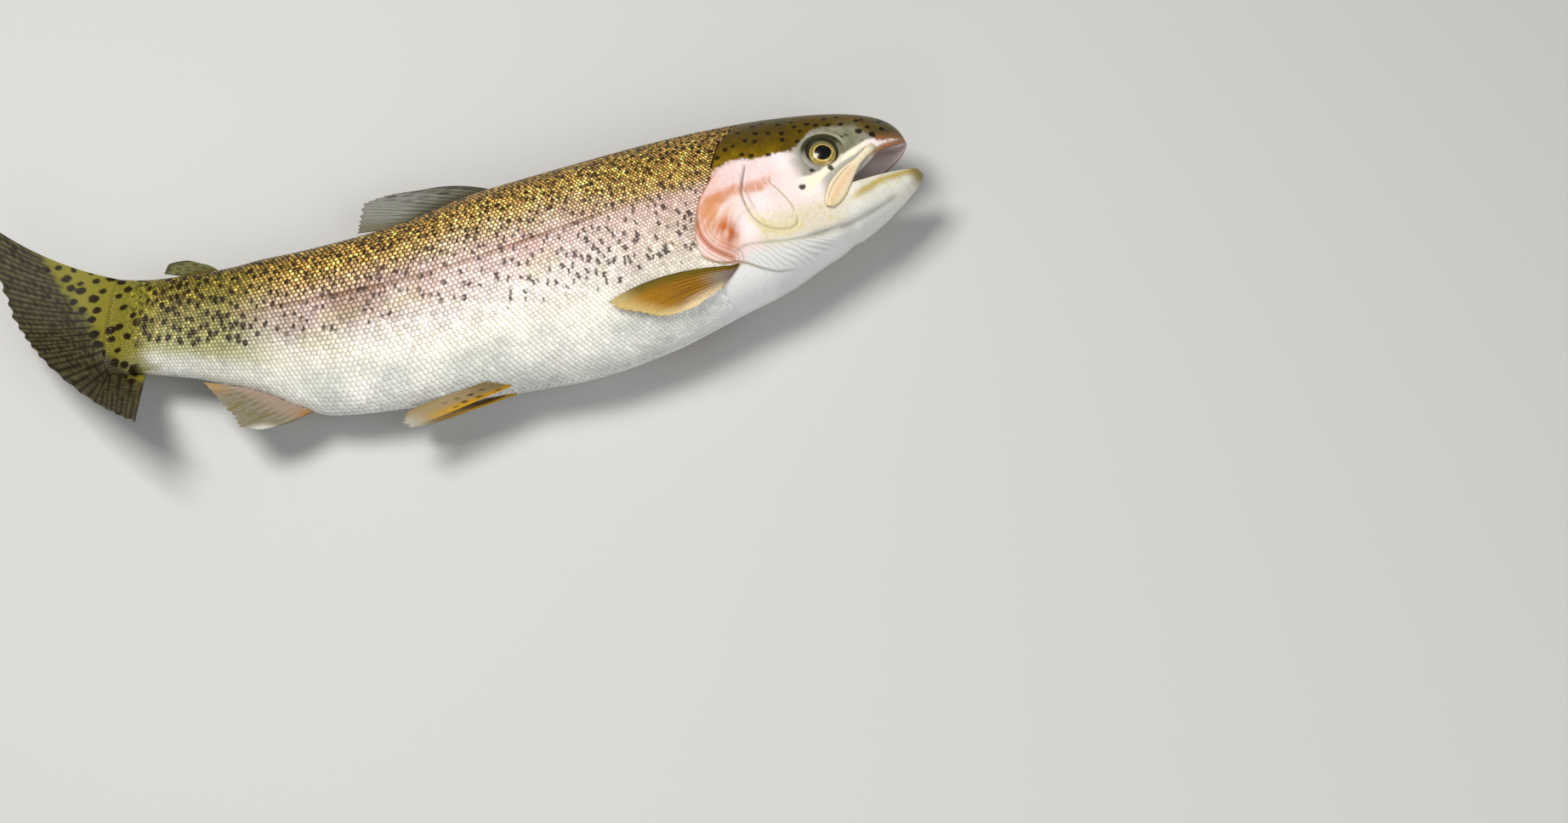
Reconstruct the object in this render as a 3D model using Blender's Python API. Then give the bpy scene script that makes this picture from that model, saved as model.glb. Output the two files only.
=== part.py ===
"""A rainbow trout at life size, lying on its left side as it was landed: a still model for display.

Every shape is set out on a straight fish first. There t runs back from the snout tip, h up towards the
back and w out to the fish's right, all as shares of the standard length. place() then bends that
straight fish along its backbone and lays it down, right side up, with its head towards +X.
"""
import math

import bmesh
import bpy
import numpy as np
from mathutils import Vector

# ---- driving dimensions, in metres ----
STANDARD_LENGTH = 0.345  # snout tip to the end of the backbone
SEAM_GAP = 0.0004  # clearance between neighbouring pieces
REST_FLAT_DEPTH = 0.0021  # how far the left flank is pressed flat where the fish lies on it

# ---- the backbone's bend, in degrees from the body's long axis ----
BACK_BEND_HEAD, BACK_BEND_TAIL = 9.3, -11.8  # towards the back, in the fish's own plane
LIFT_HEAD, LIFT_TAIL = 2.0, 0.2  # out of the surface that it lies on
BEND_POWER = 1.5  # above 1, the bend is strongest towards the tail
T_SPINE_START, T_SPINE_END, SPINE_STEPS = -0.05, 1.30, 540

# ---- the body: t, back height, belly depth, half width, height of the widest point, squareness ----
BODY_STATIONS = (
    (0.000, 0.000, 0.004, 0.0000, -0.002, 2.0),
    (0.010, 0.030, 0.009, 0.0190, -0.003, 2.1),
    (0.040, 0.053, 0.020, 0.0360, -0.006, 2.2),
    (0.090, 0.074, 0.094, 0.0480, -0.014, 2.3),
    (0.155, 0.092, 0.116, 0.0590, -0.024, 2.3),
    (0.200, 0.101, 0.130, 0.0640, -0.023, 2.2),
    (0.260, 0.109, 0.139, 0.0685, -0.022, 2.2),
    (0.360, 0.116, 0.157, 0.0740, -0.020, 2.1),
    (0.430, 0.117, 0.161, 0.0745, -0.020, 2.1),
    (0.505, 0.116, 0.155, 0.0725, -0.019, 2.1),
    (0.640, 0.096, 0.143, 0.0600, -0.020, 2.1),
    (0.735, 0.088, 0.135, 0.0500, -0.016, 2.1),
    (0.775, 0.085, 0.117, 0.0450, -0.011, 2.1),
    (0.810, 0.083, 0.096, 0.0405, -0.006, 2.1),
    (0.850, 0.077, 0.080, 0.0355, -0.003, 2.1),
    (0.900, 0.073, 0.064, 0.0300, 0.000, 2.1),
    (0.960, 0.070, 0.056, 0.0240, 0.003, 2.1),
    (1.000, 0.073, 0.056, 0.0110, 0.004, 2.1),
)
T_JAW_HINGE = 0.094  # the gape ends here, under the eye
HINGE_STEP = 0.003  # the throat has its full depth this far behind the hinge
T_NAPE = 0.222  # the head ends here
T_MID_TRUNK = 0.500
T_VENT = 0.755
T_TAIL_BASE = 1.000

# ---- the gape ----
UPPER_LIP = ((0.000, -0.004), (0.012, -0.009), (0.036, -0.015), (0.060, -0.030), (0.095, -0.048))
LIP_DRAW_IN = 0.12  # the upper lip's edge lies this share inside the head's full width
LIP_ROUNDNESS = 0.7  # below 1, the upper jaw stays broad down to its lip
PALATE_RISE, T_PALATE = 0.010, 0.030  # the roof of the mouth has risen in full by this t
# t, lip height, keel depth, half width
LOWER_JAW_STATIONS = (
    (-0.003, -0.0490, -0.0520, 0.0000),
    (0.003, -0.0455, -0.0590, 0.0110),
    (0.020, -0.0460, -0.0685, 0.0220),
    (0.040, -0.0470, -0.0790, 0.0310),
    (0.060, -0.0475, -0.0880, 0.0370),
    (0.0935, -0.0510, -0.0985, 0.0440),
)
JAW_FLOOR_DEPTH, JAW_FLOOR_SHARE = 0.014, 0.55  # the floor's depth, and its most as a share of the jaw's
JAW_FLOOR_WIDTH = 0.8  # a share of the jaw's width
JAW_KEEL_ROUNDNESS, JAW_SIDE_ROUNDNESS = 0.9, 0.8

# ---- the head's plates, each between two edges of (t, h) points that run down the right cheek ----
COVER_FRONT = ((0.194, 0.019), (0.203, -0.006), (0.210, -0.040), (0.208, -0.072), (0.228, -0.090))
COVER_REAR = ((0.212, 0.024), (0.243, 0.004), (0.272, -0.034), (0.277, -0.066), (0.247, -0.096))
MAXILLA_FRONT = ((0.036, -0.006), (0.058, -0.0235), (0.082, -0.046), (0.104, -0.0635), (0.115, -0.071))
MAXILLA_REAR = ((0.042, 0.002), (0.066, -0.012), (0.097, -0.028), (0.121, -0.047), (0.128, -0.066))
PLATE_RISE = 0.0006  # metres between the cheek and a plate's inner face
COVER_THICKNESS, MAXILLA_THICKNESS = 0.0013, 0.0014
PLATE_RIM = 0.4  # the thickness at a plate's rim, as a share
PLATE_FRONT_BULGE = 0.35  # the bulge at its front and rear edges, as a share

# ---- the eyes ----
EYE_T, EYE_H = 0.1025, 0.0015
EYE_RADIUS = 0.0072
EYE_HALF_THICKNESS = 0.0036
EYE_PROUD = 0.0012  # how far it stands out of the cheek
EYE_CLEARANCE = 0.0004

# ---- fins: margins run from the leading ray to the last, as (t, h, w); bows bend the leading ray ----
DORSAL_SPAN = (0.501, 0.627)
DORSAL_MARGIN = ((0.592, 0.1440, 0.0), (0.640, 0.1470, 0.0), (0.674, 0.1430, 0.0), (0.685, 0.1190, 0.0),
                 (0.689, 0.1020, 0.0))
DORSAL_BOW = (0.0, 0.0065, 0.0)
ADIPOSE_SPAN = (0.871, 0.912)
ADIPOSE_MARGIN = ((0.893, 0.0885, 0.0), (0.915, 0.0950, 0.0), (0.937, 0.0920, 0.0), (0.943, 0.0790, 0.0))
ADIPOSE_BOW = (0.0, 0.002, 0.0)
ANAL_SPAN = (0.757, 0.850)
ANAL_MARGIN = ((0.816, -0.1490, 0.014), (0.836, -0.1420, 0.014), (0.846, -0.1240, 0.011),
               (0.864, -0.1000, 0.007), (0.885, -0.0725, 0.000))
ANAL_BOW = (0.0, -0.004, 0.0)
PELVIC_ROOT = ((0.535, 0.955), (0.546, 0.925), (0.559, 0.895))  # (t, a) on the belly
PELVIC_MARGIN = ((0.646, -0.1820, 0.020), (0.653, -0.1720, 0.020), (0.651, -0.1600, 0.016),
                 (0.634, -0.1500, 0.010))
PELVIC_MARGIN_TUCKED = ((0.642, -0.1620, 0.024), (0.650, -0.1570, 0.028), (0.648, -0.1500, 0.030),
                        (0.632, -0.1430, 0.032))
NO_BOW = (0.0, 0.0, 0.0)
PECTORAL_ROOT = ((0.251, 0.735), (0.259, 0.768), (0.270, 0.803))  # (t, a) on the flank
PECTORAL_MARGIN = ((0.397, 0.703), (0.388, 0.730), (0.364, 0.770), (0.336, 0.812), (0.305, 0.823))
PECTORAL_BOW = (0.0, -0.036)
PECTORAL_LIFT = {1: (0.0012, 0.0032), -1: (0.0011, 0.0015)}  # metres off each flank, at root and tip
TAIL_ROOT = ((1.0010, 0.0730, 0.0), (1.0012, 0.0450, 0.0), (1.0012, 0.0150, 0.0), (1.0012, -0.0150, 0.0),
             (1.0010, -0.0560, 0.0), (0.9550, -0.0605, 0.0))
TAIL_MARGIN = ((1.2050, 0.1500, 0.000), (1.1680, 0.0780, 0.000), (1.1230, 0.0100, 0.004),
               (1.0750, -0.0430, 0.020), (0.9880, -0.1150, 0.050), (0.9310, -0.1560, 0.084))
TAIL_BOW = (0.0, -0.008, 0.0)
FIN_THICKNESS = (0.0016, 0.0007)  # metres, at the root and at the margin
TAIL_FLESH = 0.0060  # the thickness at the middle of the tail fin's root
TAIL_ROOT_UNDERSIDE = 0.8  # the share of the root that lies against the end of the stalk
ADIPOSE_THICKNESS = (0.0022, 0.0012)
FIN_TAPER_POWER = 0.35  # below 1, a fin thins soon after its root
FIN_GAP = 0.0022  # between a fin's root and the body, as a share of the standard length
FIN_RAYS, FIN_STEPS = 10, 7
FIN_TURN_STEPS = 2  # a fin's thickness turns square to it over this many steps from the root

# ---- fineness ----
RING_POINTS = 40  # around the body
BODY_RING_SPACING = 0.012
MOUTH_RINGS, CHEEK_RINGS = 12, 10  # ahead of the jaw's hinge and behind it
JAW_RINGS, JAW_OUTER_POINTS, JAW_INNER_POINTS = 12, 17, 9
SNOUT_CROWDING = 1.5  # above 1, the rings crowd towards the snout
FIRST_MOUTH_RING, FIRST_JAW_RING = 0.06, 0.03  # shares of the way to the hinge
PLATE_ROWS, PLATE_COLUMNS = 12, 7
EYE_SEGMENTS = 20

# ---- colours: red, green, blue, roughness ----
OLIVE_BACK = (0.34, 0.27, 0.08, 0.35)
PALE_FLANK = (0.78, 0.66, 0.55, 0.30)
CREAM_JAW = (0.82, 0.80, 0.68, 0.35)
PINK_COVER = (0.85, 0.62, 0.55, 0.30)
DARK_EYE = (0.30, 0.24, 0.06, 0.10)
OLIVE_TAIL = (0.30, 0.29, 0.12, 0.40)
GOLDEN_FIN = (0.55, 0.38, 0.10, 0.45)
CLEAR_FIN = (0.50, 0.50, 0.40, 0.40)


def smooth_curve(knots):
    """A function of the first column that passes through every knot, flat or rising as they are."""
    table = np.array(knots, float)
    x, y = table[:, 0], table[:, 1:]
    step = np.diff(x)[:, None]
    slope = np.diff(y, axis=0) / step
    turn = np.zeros_like(y)
    turn[0], turn[-1] = slope[0], slope[-1]
    before, after = slope[:-1], slope[1:]
    left, right = step[:-1], step[1:]
    same_way = before * after > 0
    weight_before, weight_after = 2 * right + left, right + 2 * left
    safe_before = np.where(same_way, before, 1.0)
    safe_after = np.where(same_way, after, 1.0)
    mean = (weight_before + weight_after) / (weight_before / safe_before + weight_after / safe_after)
    turn[1:-1] = np.where(same_way, mean, 0.0)

    def value(at):
        at = np.clip(np.asarray(at, float), x[0], x[-1])
        i = np.clip(np.searchsorted(x, at, side="right") - 1, 0, len(x) - 2)
        width = step[i, 0][..., None]
        s = ((at - x[i]) / step[i, 0])[..., None]
        near = (1 + 2 * s) * (1 - s) ** 2 * y[i] + s * (1 - s) ** 2 * width * turn[i]
        far = s * s * (3 - 2 * s) * y[i + 1] + s * s * (s - 1) * width * turn[i + 1]
        return near + far

    return value


def on_root_scale(stations):
    """The stations with t replaced by its square root, in which a blunt snout is a straight line."""
    return [(math.sqrt(max(row[0], 0.0)),) + tuple(row[1:]) for row in stations]


def backbone():
    """Samples of the posed backbone: t, its points, and the directions of head, back and right side."""
    t = np.linspace(T_SPINE_START, T_SPINE_END, SPINE_STEPS)
    share = np.clip(t, 0, None) ** BEND_POWER
    turn = np.radians(BACK_BEND_HEAD + (BACK_BEND_TAIL - BACK_BEND_HEAD) * share)
    lift = np.radians(LIFT_HEAD + (LIFT_TAIL - LIFT_HEAD) * share)
    ahead = np.stack([np.cos(lift) * np.cos(turn), np.cos(lift) * np.sin(turn), np.sin(lift)], axis=1)
    steps = (ahead[1:] + ahead[:-1]) / 2 * np.diff(t)[:, None] * STANDARD_LENGTH
    points = np.concatenate([np.zeros((1, 3)), -np.cumsum(steps, axis=0)])
    right = np.array([0.0, 0.0, 1.0]) - ahead[:, 2:] * ahead
    right /= np.linalg.norm(right, axis=1)[:, None]
    return t, points, ahead, np.cross(right, ahead), right


SPINE_T, SPINE_POINTS, SPINE_AHEAD, SPINE_BACK, SPINE_RIGHT = backbone()
BODY = smooth_curve(on_root_scale(BODY_STATIONS))
LOWER_JAW = smooth_curve(LOWER_JAW_STATIONS)
LIP = smooth_curve(UPPER_LIP)


def along_spine(samples, t):
    return np.stack([np.interp(t, SPINE_T, samples[:, axis]) for axis in range(3)], axis=-1)


def place(t, h, w):
    """Points of the straight fish, as shares of its length, in the posed model, in metres."""
    t, h, w = np.broadcast_arrays(np.asarray(t, float), h, w)
    across = h[..., None] * along_spine(SPINE_BACK, t) + w[..., None] * along_spine(SPINE_RIGHT, t)
    return along_spine(SPINE_POINTS, t) + across * STANDARD_LENGTH


def body_at(t):
    """Back height, belly depth, half width, height of the widest point and squareness at t."""
    values = BODY(np.sqrt(np.clip(t, 0, None)))
    return [values[..., column] for column in range(5)]


def half_section(t, a):
    """(h, w) of the right side at t, where a runs from 0 on the back to 1 under the belly."""
    back, belly, half_width, widest, square = body_at(t)
    angle = np.pi * np.asarray(a, float)
    upper = np.cos(angle) >= 0
    reach = np.where(upper, back - widest, belly + widest)
    h = widest + reach * np.sign(np.cos(angle)) * np.abs(np.cos(angle)) ** (2 / square)
    return h, half_width * np.abs(np.sin(angle)) ** (2 / square)


def lowest_skin():
    t, a = np.meshgrid(np.linspace(0.1, 1.0, 91), np.linspace(0, 1, 61))
    h, w = half_section(t, a)
    return place(t, h, -w)[..., 2].min()


FLOOR_LEVEL = lowest_skin() + REST_FLAT_DEPTH


def new_object(name, mesh, look, parent):
    """An object with a material of its own, under the posed trout."""
    red, green, blue, roughness = look
    material = bpy.data.materials.new(name)
    material.use_nodes = True
    shader = material.node_tree.nodes["Principled BSDF"]
    shader.inputs["Base Color"].default_value = (red, green, blue, 1)
    shader.inputs["Roughness"].default_value = roughness
    mesh.materials.append(material)
    mesh.shade_smooth()
    made = bpy.data.objects.new(name, mesh)
    made.parent = parent
    bpy.data.collections["rainbow_trout"].objects.link(made)
    return made


def finished(name, bm):
    """A mesh from bm, its doubled points joined and its faces turned outwards."""
    bmesh.ops.remove_doubles(bm, verts=bm.verts, dist=1e-5)
    bmesh.ops.recalc_face_normals(bm, faces=bm.faces)
    mesh = bpy.data.meshes.new(name)
    bm.to_mesh(mesh)
    bm.free()
    return mesh


def loft(name, rings):
    """A closed tube through rings of points, capped at both ends."""
    bm = bmesh.new()
    verts = [[bm.verts.new(p) for p in ring] for ring in rings.tolist()]
    for near, far in zip(verts, verts[1:]):
        for j in range(len(near)):
            k = (j + 1) % len(near)
            bm.faces.new((near[j], near[k], far[k], far[j]))
    bm.faces.new(verts[0])
    bm.faces.new(verts[-1])
    return finished(name, bm)


def slab(name, under, over):
    """A closed plate between two grids of points that face each other."""
    bm = bmesh.new()
    rows, columns = under.shape[:2]
    sheets = [[[bm.verts.new(p) for p in row] for row in grid.tolist()] for grid in (under, over)]
    for sheet in sheets:
        for i in range(rows - 1):
            for j in range(columns - 1):
                bm.faces.new((sheet[i][j], sheet[i][j + 1], sheet[i + 1][j + 1], sheet[i + 1][j]))
    around = [(i, 0) for i in range(rows)]
    around += [(rows - 1, j) for j in range(1, columns)]
    around += [(i, columns - 1) for i in range(rows - 2, -1, -1)]
    around += [(0, j) for j in range(columns - 2, 0, -1)]
    for (i, j), (k, m) in zip(around, around[1:] + around[:1]):
        bm.faces.new((sheets[0][i][j], sheets[0][k][m], sheets[1][k][m], sheets[1][i][j]))
    return finished(name, bm)


def off_the_floor(points):
    """The points with none below the surface that the fish lies on."""
    points[..., 2] = np.maximum(points[..., 2], FLOOR_LEVEL)
    return points


def around_ring():
    """a on the two flanks in turn, with the side that each belongs to."""
    a = np.linspace(-1, 1, RING_POINTS, endpoint=False)
    return np.abs(a), np.where(a < 0, -1.0, 1.0)


def body_length(name, start, end, look, parent):
    """One length of the trunk or tail, closed by flat ends."""
    a, side = around_ring()
    count = max(3, round((end - start) * STANDARD_LENGTH / BODY_RING_SPACING))
    t = np.linspace(start, end - SEAM_GAP / STANDARD_LENGTH, count + 1)[:, None]
    h, w = half_section(t, a[None, :])
    return new_object(name, loft(name, off_the_floor(place(t, h, w * side))), look, parent)


def open_mouth_ring(t, a, w, h):
    """A ring of the upper jaw: the outer skin down to the lip, then the roof of the mouth."""
    lip = float(LIP(t)[0])
    widest = float(body_at(t)[4])
    full = float(body_at(t)[2])
    below = np.clip((widest - h) / max(widest - lip, 1e-3), 0, 1)
    under = a > 0.5
    across = np.abs(np.sin(np.pi * a)) ** LIP_ROUNDNESS
    w = np.where(under, full * across * (1 - LIP_DRAW_IN * below), w)
    roof = lip + PALATE_RISE * min(1.0, t / T_PALATE) * (1 - across**2)
    return w, np.where(under, np.minimum(roof, widest), np.maximum(h, lip))


def head(parent):
    """The skull and throat in one: open below the lip as far as the jaw's hinge, whole behind it."""
    a, side = around_ring()
    open_part = T_JAW_HINGE * np.linspace(FIRST_MOUTH_RING, 1.0, MOUTH_RINGS) ** SNOUT_CROWDING
    whole_part = np.linspace(T_JAW_HINGE + HINGE_STEP, T_NAPE - SEAM_GAP / STANDARD_LENGTH, CHEEK_RINGS)
    rings = []
    for t in np.concatenate([open_part, whole_part]):
        h, w = half_section(np.full(RING_POINTS, t), a)
        if t <= T_JAW_HINGE:
            w, h = open_mouth_ring(t, a, w, h)
        rings.append(place(t, h, w * side))
    return new_object("head", loft("head", off_the_floor(np.array(rings))), OLIVE_BACK, parent)


def lower_jaw(parent):
    """A trough whose rim is the lower lip."""
    rings = []
    outer = np.linspace(-1, 1, JAW_OUTER_POINTS)
    inner = np.linspace(JAW_FLOOR_WIDTH, -JAW_FLOOR_WIDTH, JAW_INNER_POINTS)
    first, last = LOWER_JAW_STATIONS[0][0], LOWER_JAW_STATIONS[-1][0]
    for t in first + (last - first) * np.linspace(FIRST_JAW_RING, 1, JAW_RINGS) ** SNOUT_CROWDING:
        lip, keel, half_width = LOWER_JAW(t)
        keel_curve = lip + (keel - lip) * np.cos(outer * np.pi / 2) ** JAW_KEEL_ROUNDNESS
        sides = half_width * np.sign(outer) * np.abs(np.sin(outer * np.pi / 2)) ** JAW_SIDE_ROUNDNESS
        depth = min(JAW_FLOOR_DEPTH, JAW_FLOOR_SHARE * (lip - keel))
        floor_curve = lip - depth * (1 - inner**2)
        h = np.concatenate([keel_curve, floor_curve])
        w = np.concatenate([sides, inner * half_width])
        rings.append(place(t, h, w))
    return new_object("lower_jaw", loft("lower_jaw", np.array(rings)), CREAM_JAW, parent)


def flank_angle(t, h):
    """The a at which the right flank has height h."""
    back, belly, half_width, widest, square = body_at(t)
    reach = np.where(h > widest, back - widest, belly + widest)
    share = np.clip((h - widest) / reach, -1, 1)
    return np.arccos(np.sign(share) * np.abs(share) ** (square / 2)) / np.pi


def on_flank(t, a, side, lift):
    """Points lifted off the flank on one side (1 is right, -1 left), with lift in metres."""
    step = 1e-3

    def skin(t, a):
        h, w = half_section(t, a)
        return place(t, h, w * side)

    along = skin(t + step, a) - skin(t - step, a)
    down = skin(t, a + step) - skin(t, a - step)
    out = np.cross(along, down) * side
    out /= np.linalg.norm(out, axis=-1)[..., None]
    return skin(t, a) + out * np.asarray(lift)[..., None]


def plate(name, front, rear, thickness, side, look, parent):
    """A bony plate on the cheek, between its front and rear edges and thinner towards its rim."""
    u = np.linspace(0, 1, PLATE_ROWS)
    v = np.linspace(0, 1, PLATE_COLUMNS)
    knots = np.linspace(0, 1, len(front))[:, None]
    first = smooth_curve(np.hstack([knots, front]))(u)[:, None, :]
    last = smooth_curve(np.hstack([knots, rear]))(u)[:, None, :]
    spot = first + (last - first) * v[None, :, None]
    t, h = spot[..., 0], spot[..., 1]
    a = flank_angle(t, h)
    bulge = PLATE_FRONT_BULGE + (1 - PLATE_FRONT_BULGE) * np.sqrt(np.sin(np.pi * v))[None, :]
    swell = np.sqrt(np.sin(np.pi * u))[:, None] * bulge
    rise = PLATE_RISE + thickness * (PLATE_RIM + (1 - PLATE_RIM) * swell)
    under = on_flank(t, a, side, np.full_like(t, PLATE_RISE))
    return new_object(name, slab(name, under, on_flank(t, a, side, rise)), look, parent)


def eye(name, side, parent, skull):
    """A flattened ball set in a socket that is cut for it."""
    t, h = np.array([EYE_T]), np.array([EYE_H])
    a = flank_angle(t, h)
    sunk = np.array([EYE_PROUD - EYE_HALF_THICKNESS])
    centre = on_flank(t, a, side, sunk)[0]
    outward = Vector((on_flank(t, a, side, sunk + 0.01)[0] - centre).tolist())
    turn = outward.to_track_quat("Z", "Y").to_matrix().to_4x4()
    for extra, object_name in ((EYE_CLEARANCE, name + "_socket"), (0.0, name)):
        bm = bmesh.new()
        bmesh.ops.create_uvsphere(bm, u_segments=EYE_SEGMENTS, v_segments=EYE_SEGMENTS // 2, radius=1.0)
        size = Vector((EYE_RADIUS + extra, EYE_RADIUS + extra, EYE_HALF_THICKNESS + extra))
        bmesh.ops.scale(bm, vec=size, verts=bm.verts)
        bmesh.ops.transform(bm, matrix=turn, verts=bm.verts)
        bmesh.ops.translate(bm, vec=Vector(centre.tolist()), verts=bm.verts)
        mesh = finished(object_name, bm)
        if extra:
            cut_out(skull, object_name, mesh, parent)
        else:
            new_object(name, mesh, DARK_EYE, parent)


def cut_out(solid, name, mesh, parent):
    """Takes the shape of mesh out of the solid."""
    cutter = bpy.data.objects.new(name, mesh)
    cutter.parent = parent
    cutter.hide_render = True
    cutter.display_type = "WIRE"
    bpy.data.collections["cutters"].objects.link(cutter)
    cut = solid.modifiers.new(name, "BOOLEAN")
    cut.operation = "DIFFERENCE"
    cut.object = cutter


def fan(root, margin, bow):
    """Rays that spread from a root to a margin, with the leading rays bent by bow at their middles."""
    s = np.linspace(0, 1, FIN_RAYS + 1)
    v = np.linspace(0, 1, FIN_STEPS + 1)[None, :, None]
    ends = []
    for knots in (root, margin):
        places = np.linspace(0, 1, len(knots))[:, None]
        ends.append(smooth_curve(np.hstack([places, knots]))(s)[:, None, :])
    bent = np.array(bow) * 4 * v * (1 - v) * (1 - s[:, None, None]) ** 2
    return ends[0] + (ends[1] - ends[0]) * v + bent


def thickened(name, middle, thickness, look, parent, outward=None):
    """A fin from its middle surface: thick at the root, thin at the margin, and square to it.

    outward, where it is given, turns the root's own thickness that way.
    """
    across = np.cross(np.gradient(middle, axis=0), np.gradient(middle, axis=1))
    across /= np.linalg.norm(across, axis=-1)[..., None]
    v = np.linspace(0, 1, middle.shape[1])[None, :, None]
    if outward is not None:
        across *= np.sign(np.sum(across * outward, axis=-1))[..., None]
        turned = np.clip(v * FIN_STEPS / FIN_TURN_STEPS, 0, 1)
        across = across * turned + outward * (1 - turned)
        across /= np.linalg.norm(across, axis=-1)[..., None]
    root, margin = np.asarray(thickness[0])[..., None, None], thickness[1]
    half = (root + (margin - root) * v**FIN_TAPER_POWER) / 2
    return new_object(name, slab(name, middle - across * half, middle + across * half), look, parent)


def median_root(span, on_back):
    """Root points along the back or the belly, clear of it by the gap."""
    t = np.linspace(*span, FIN_RAYS + 1)
    back, belly = body_at(t)[:2]
    h = back + FIN_GAP if on_back else -belly - FIN_GAP
    return np.stack([t, h, 0 * t], axis=-1)


def upright_fin(name, root, margin, bow, thickness, look, parent, side=1):
    t, h, w = np.moveaxis(fan(root, margin, bow), -1, 0)
    return thickened(name, place(t, h, side * w), thickness, look, parent, along_spine(SPINE_RIGHT, t))


def tail_fin(parent):
    """The tail fin, whose root is as thick as the flesh that it springs from."""
    s = np.linspace(0, 1, FIN_RAYS + 1)
    fleshy = np.sin(np.pi * np.clip(s / TAIL_ROOT_UNDERSIDE, 0, 1))
    root_thickness = FIN_THICKNESS[0] + (TAIL_FLESH - FIN_THICKNESS[0]) * fleshy
    upright_fin("tail_fin", TAIL_ROOT, TAIL_MARGIN, TAIL_BOW, (root_thickness, FIN_THICKNESS[1]),
                OLIVE_TAIL, parent)


def pectoral_fin(name, side, parent):
    spot = fan(PECTORAL_ROOT, PECTORAL_MARGIN, PECTORAL_BOW)
    lift = np.linspace(*PECTORAL_LIFT[side], FIN_STEPS + 1)[None, :] + 0 * spot[..., 0]
    middle = on_flank(spot[..., 0], spot[..., 1], side, lift)
    thickened(name, middle, FIN_THICKNESS, GOLDEN_FIN, parent)


def pelvic_fin(name, side, margin, parent):
    t, a = np.array(PELVIC_ROOT).T
    h, w = half_section(t, a)
    root = np.stack([t, h - 2 * FIN_GAP, w], axis=-1)
    upright_fin(name, root, margin, NO_BOW, FIN_THICKNESS, GOLDEN_FIN, parent, side)


def set_down(carrier):
    """Moves the posed trout so that its box stands on the floor, centred on the origin."""
    bpy.context.view_layer.update()
    corners = [o.matrix_world @ Vector(c) for o in bpy.data.objects if o.type == "MESH"
               and not o.hide_render for c in o.bound_box]
    low = [min(c[i] for c in corners) for i in range(3)]
    high = [max(c[i] for c in corners) for i in range(3)]
    carrier.location = (-(low[0] + high[0]) / 2, -(low[1] + high[1]) / 2, -low[2])


def build():
    for old in list(bpy.data.objects):
        bpy.data.objects.remove(old)
    for name in ("rainbow_trout", "cutters"):
        bpy.context.scene.collection.children.link(bpy.data.collections.new(name))
    carrier = bpy.data.objects.new("trout", None)
    bpy.data.collections["rainbow_trout"].objects.link(carrier)
    skull = head(carrier)
    lower_jaw(carrier)
    body_length("trunk_front", T_NAPE, T_MID_TRUNK, PALE_FLANK, carrier)
    body_length("trunk_rear", T_MID_TRUNK, T_VENT, PALE_FLANK, carrier)
    body_length("tail_stalk", T_VENT, T_TAIL_BASE, OLIVE_TAIL, carrier)
    for side, word in ((1, "right"), (-1, "left")):
        eye("eye_" + word, side, carrier, skull)
        plate("gill_cover_" + word, COVER_FRONT, COVER_REAR, COVER_THICKNESS, side, PINK_COVER, carrier)
        plate("maxilla_" + word, MAXILLA_FRONT, MAXILLA_REAR, MAXILLA_THICKNESS, side, CREAM_JAW, carrier)
        pectoral_fin("pectoral_fin_" + word, side, carrier)
    pelvic_fin("pelvic_fin_right", 1, PELVIC_MARGIN, carrier)
    pelvic_fin("pelvic_fin_left", -1, PELVIC_MARGIN_TUCKED, carrier)
    upright_fin("dorsal_fin", median_root(DORSAL_SPAN, True), DORSAL_MARGIN, DORSAL_BOW,
                FIN_THICKNESS, CLEAR_FIN, carrier)
    upright_fin("adipose_fin", median_root(ADIPOSE_SPAN, True), ADIPOSE_MARGIN, ADIPOSE_BOW,
                ADIPOSE_THICKNESS, OLIVE_TAIL, carrier)
    upright_fin("anal_fin", median_root(ANAL_SPAN, False), ANAL_MARGIN, ANAL_BOW,
                FIN_THICKNESS, GOLDEN_FIN, carrier)
    tail_fin(carrier)
    set_down(carrier)


build()
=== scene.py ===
"""The looks of the rainbow trout: one skin with its mouth, a coat of scales, the eyes, the upper jaw's
blades and the rayed fins, built on the same straight fish as the part and bent in the same way.

There t runs back from the snout tip, h up towards the back and w to the fish's right, all as shares of
the standard length, and a runs from 0 on the back to 1 under the belly around one flank.
"""
import math

import bmesh
import bpy
import numpy as np
from mathutils import Matrix, Vector


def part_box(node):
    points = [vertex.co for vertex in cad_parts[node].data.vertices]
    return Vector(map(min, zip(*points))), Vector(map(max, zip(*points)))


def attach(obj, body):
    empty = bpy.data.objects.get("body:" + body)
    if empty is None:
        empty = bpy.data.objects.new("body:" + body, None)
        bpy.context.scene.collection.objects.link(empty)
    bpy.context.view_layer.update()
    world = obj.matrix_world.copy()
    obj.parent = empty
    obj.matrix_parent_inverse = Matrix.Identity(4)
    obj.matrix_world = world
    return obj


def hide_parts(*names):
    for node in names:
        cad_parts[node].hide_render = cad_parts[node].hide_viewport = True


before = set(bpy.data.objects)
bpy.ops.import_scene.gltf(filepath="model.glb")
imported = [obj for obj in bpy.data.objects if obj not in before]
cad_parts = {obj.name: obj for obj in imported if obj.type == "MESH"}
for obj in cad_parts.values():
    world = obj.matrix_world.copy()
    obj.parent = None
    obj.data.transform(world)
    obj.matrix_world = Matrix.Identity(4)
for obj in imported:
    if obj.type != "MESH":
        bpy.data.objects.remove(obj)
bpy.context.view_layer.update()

LENGTH = 0.345  # the standard length, in metres
MM = 0.001 / LENGTH  # one millimetre as a share of it

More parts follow.
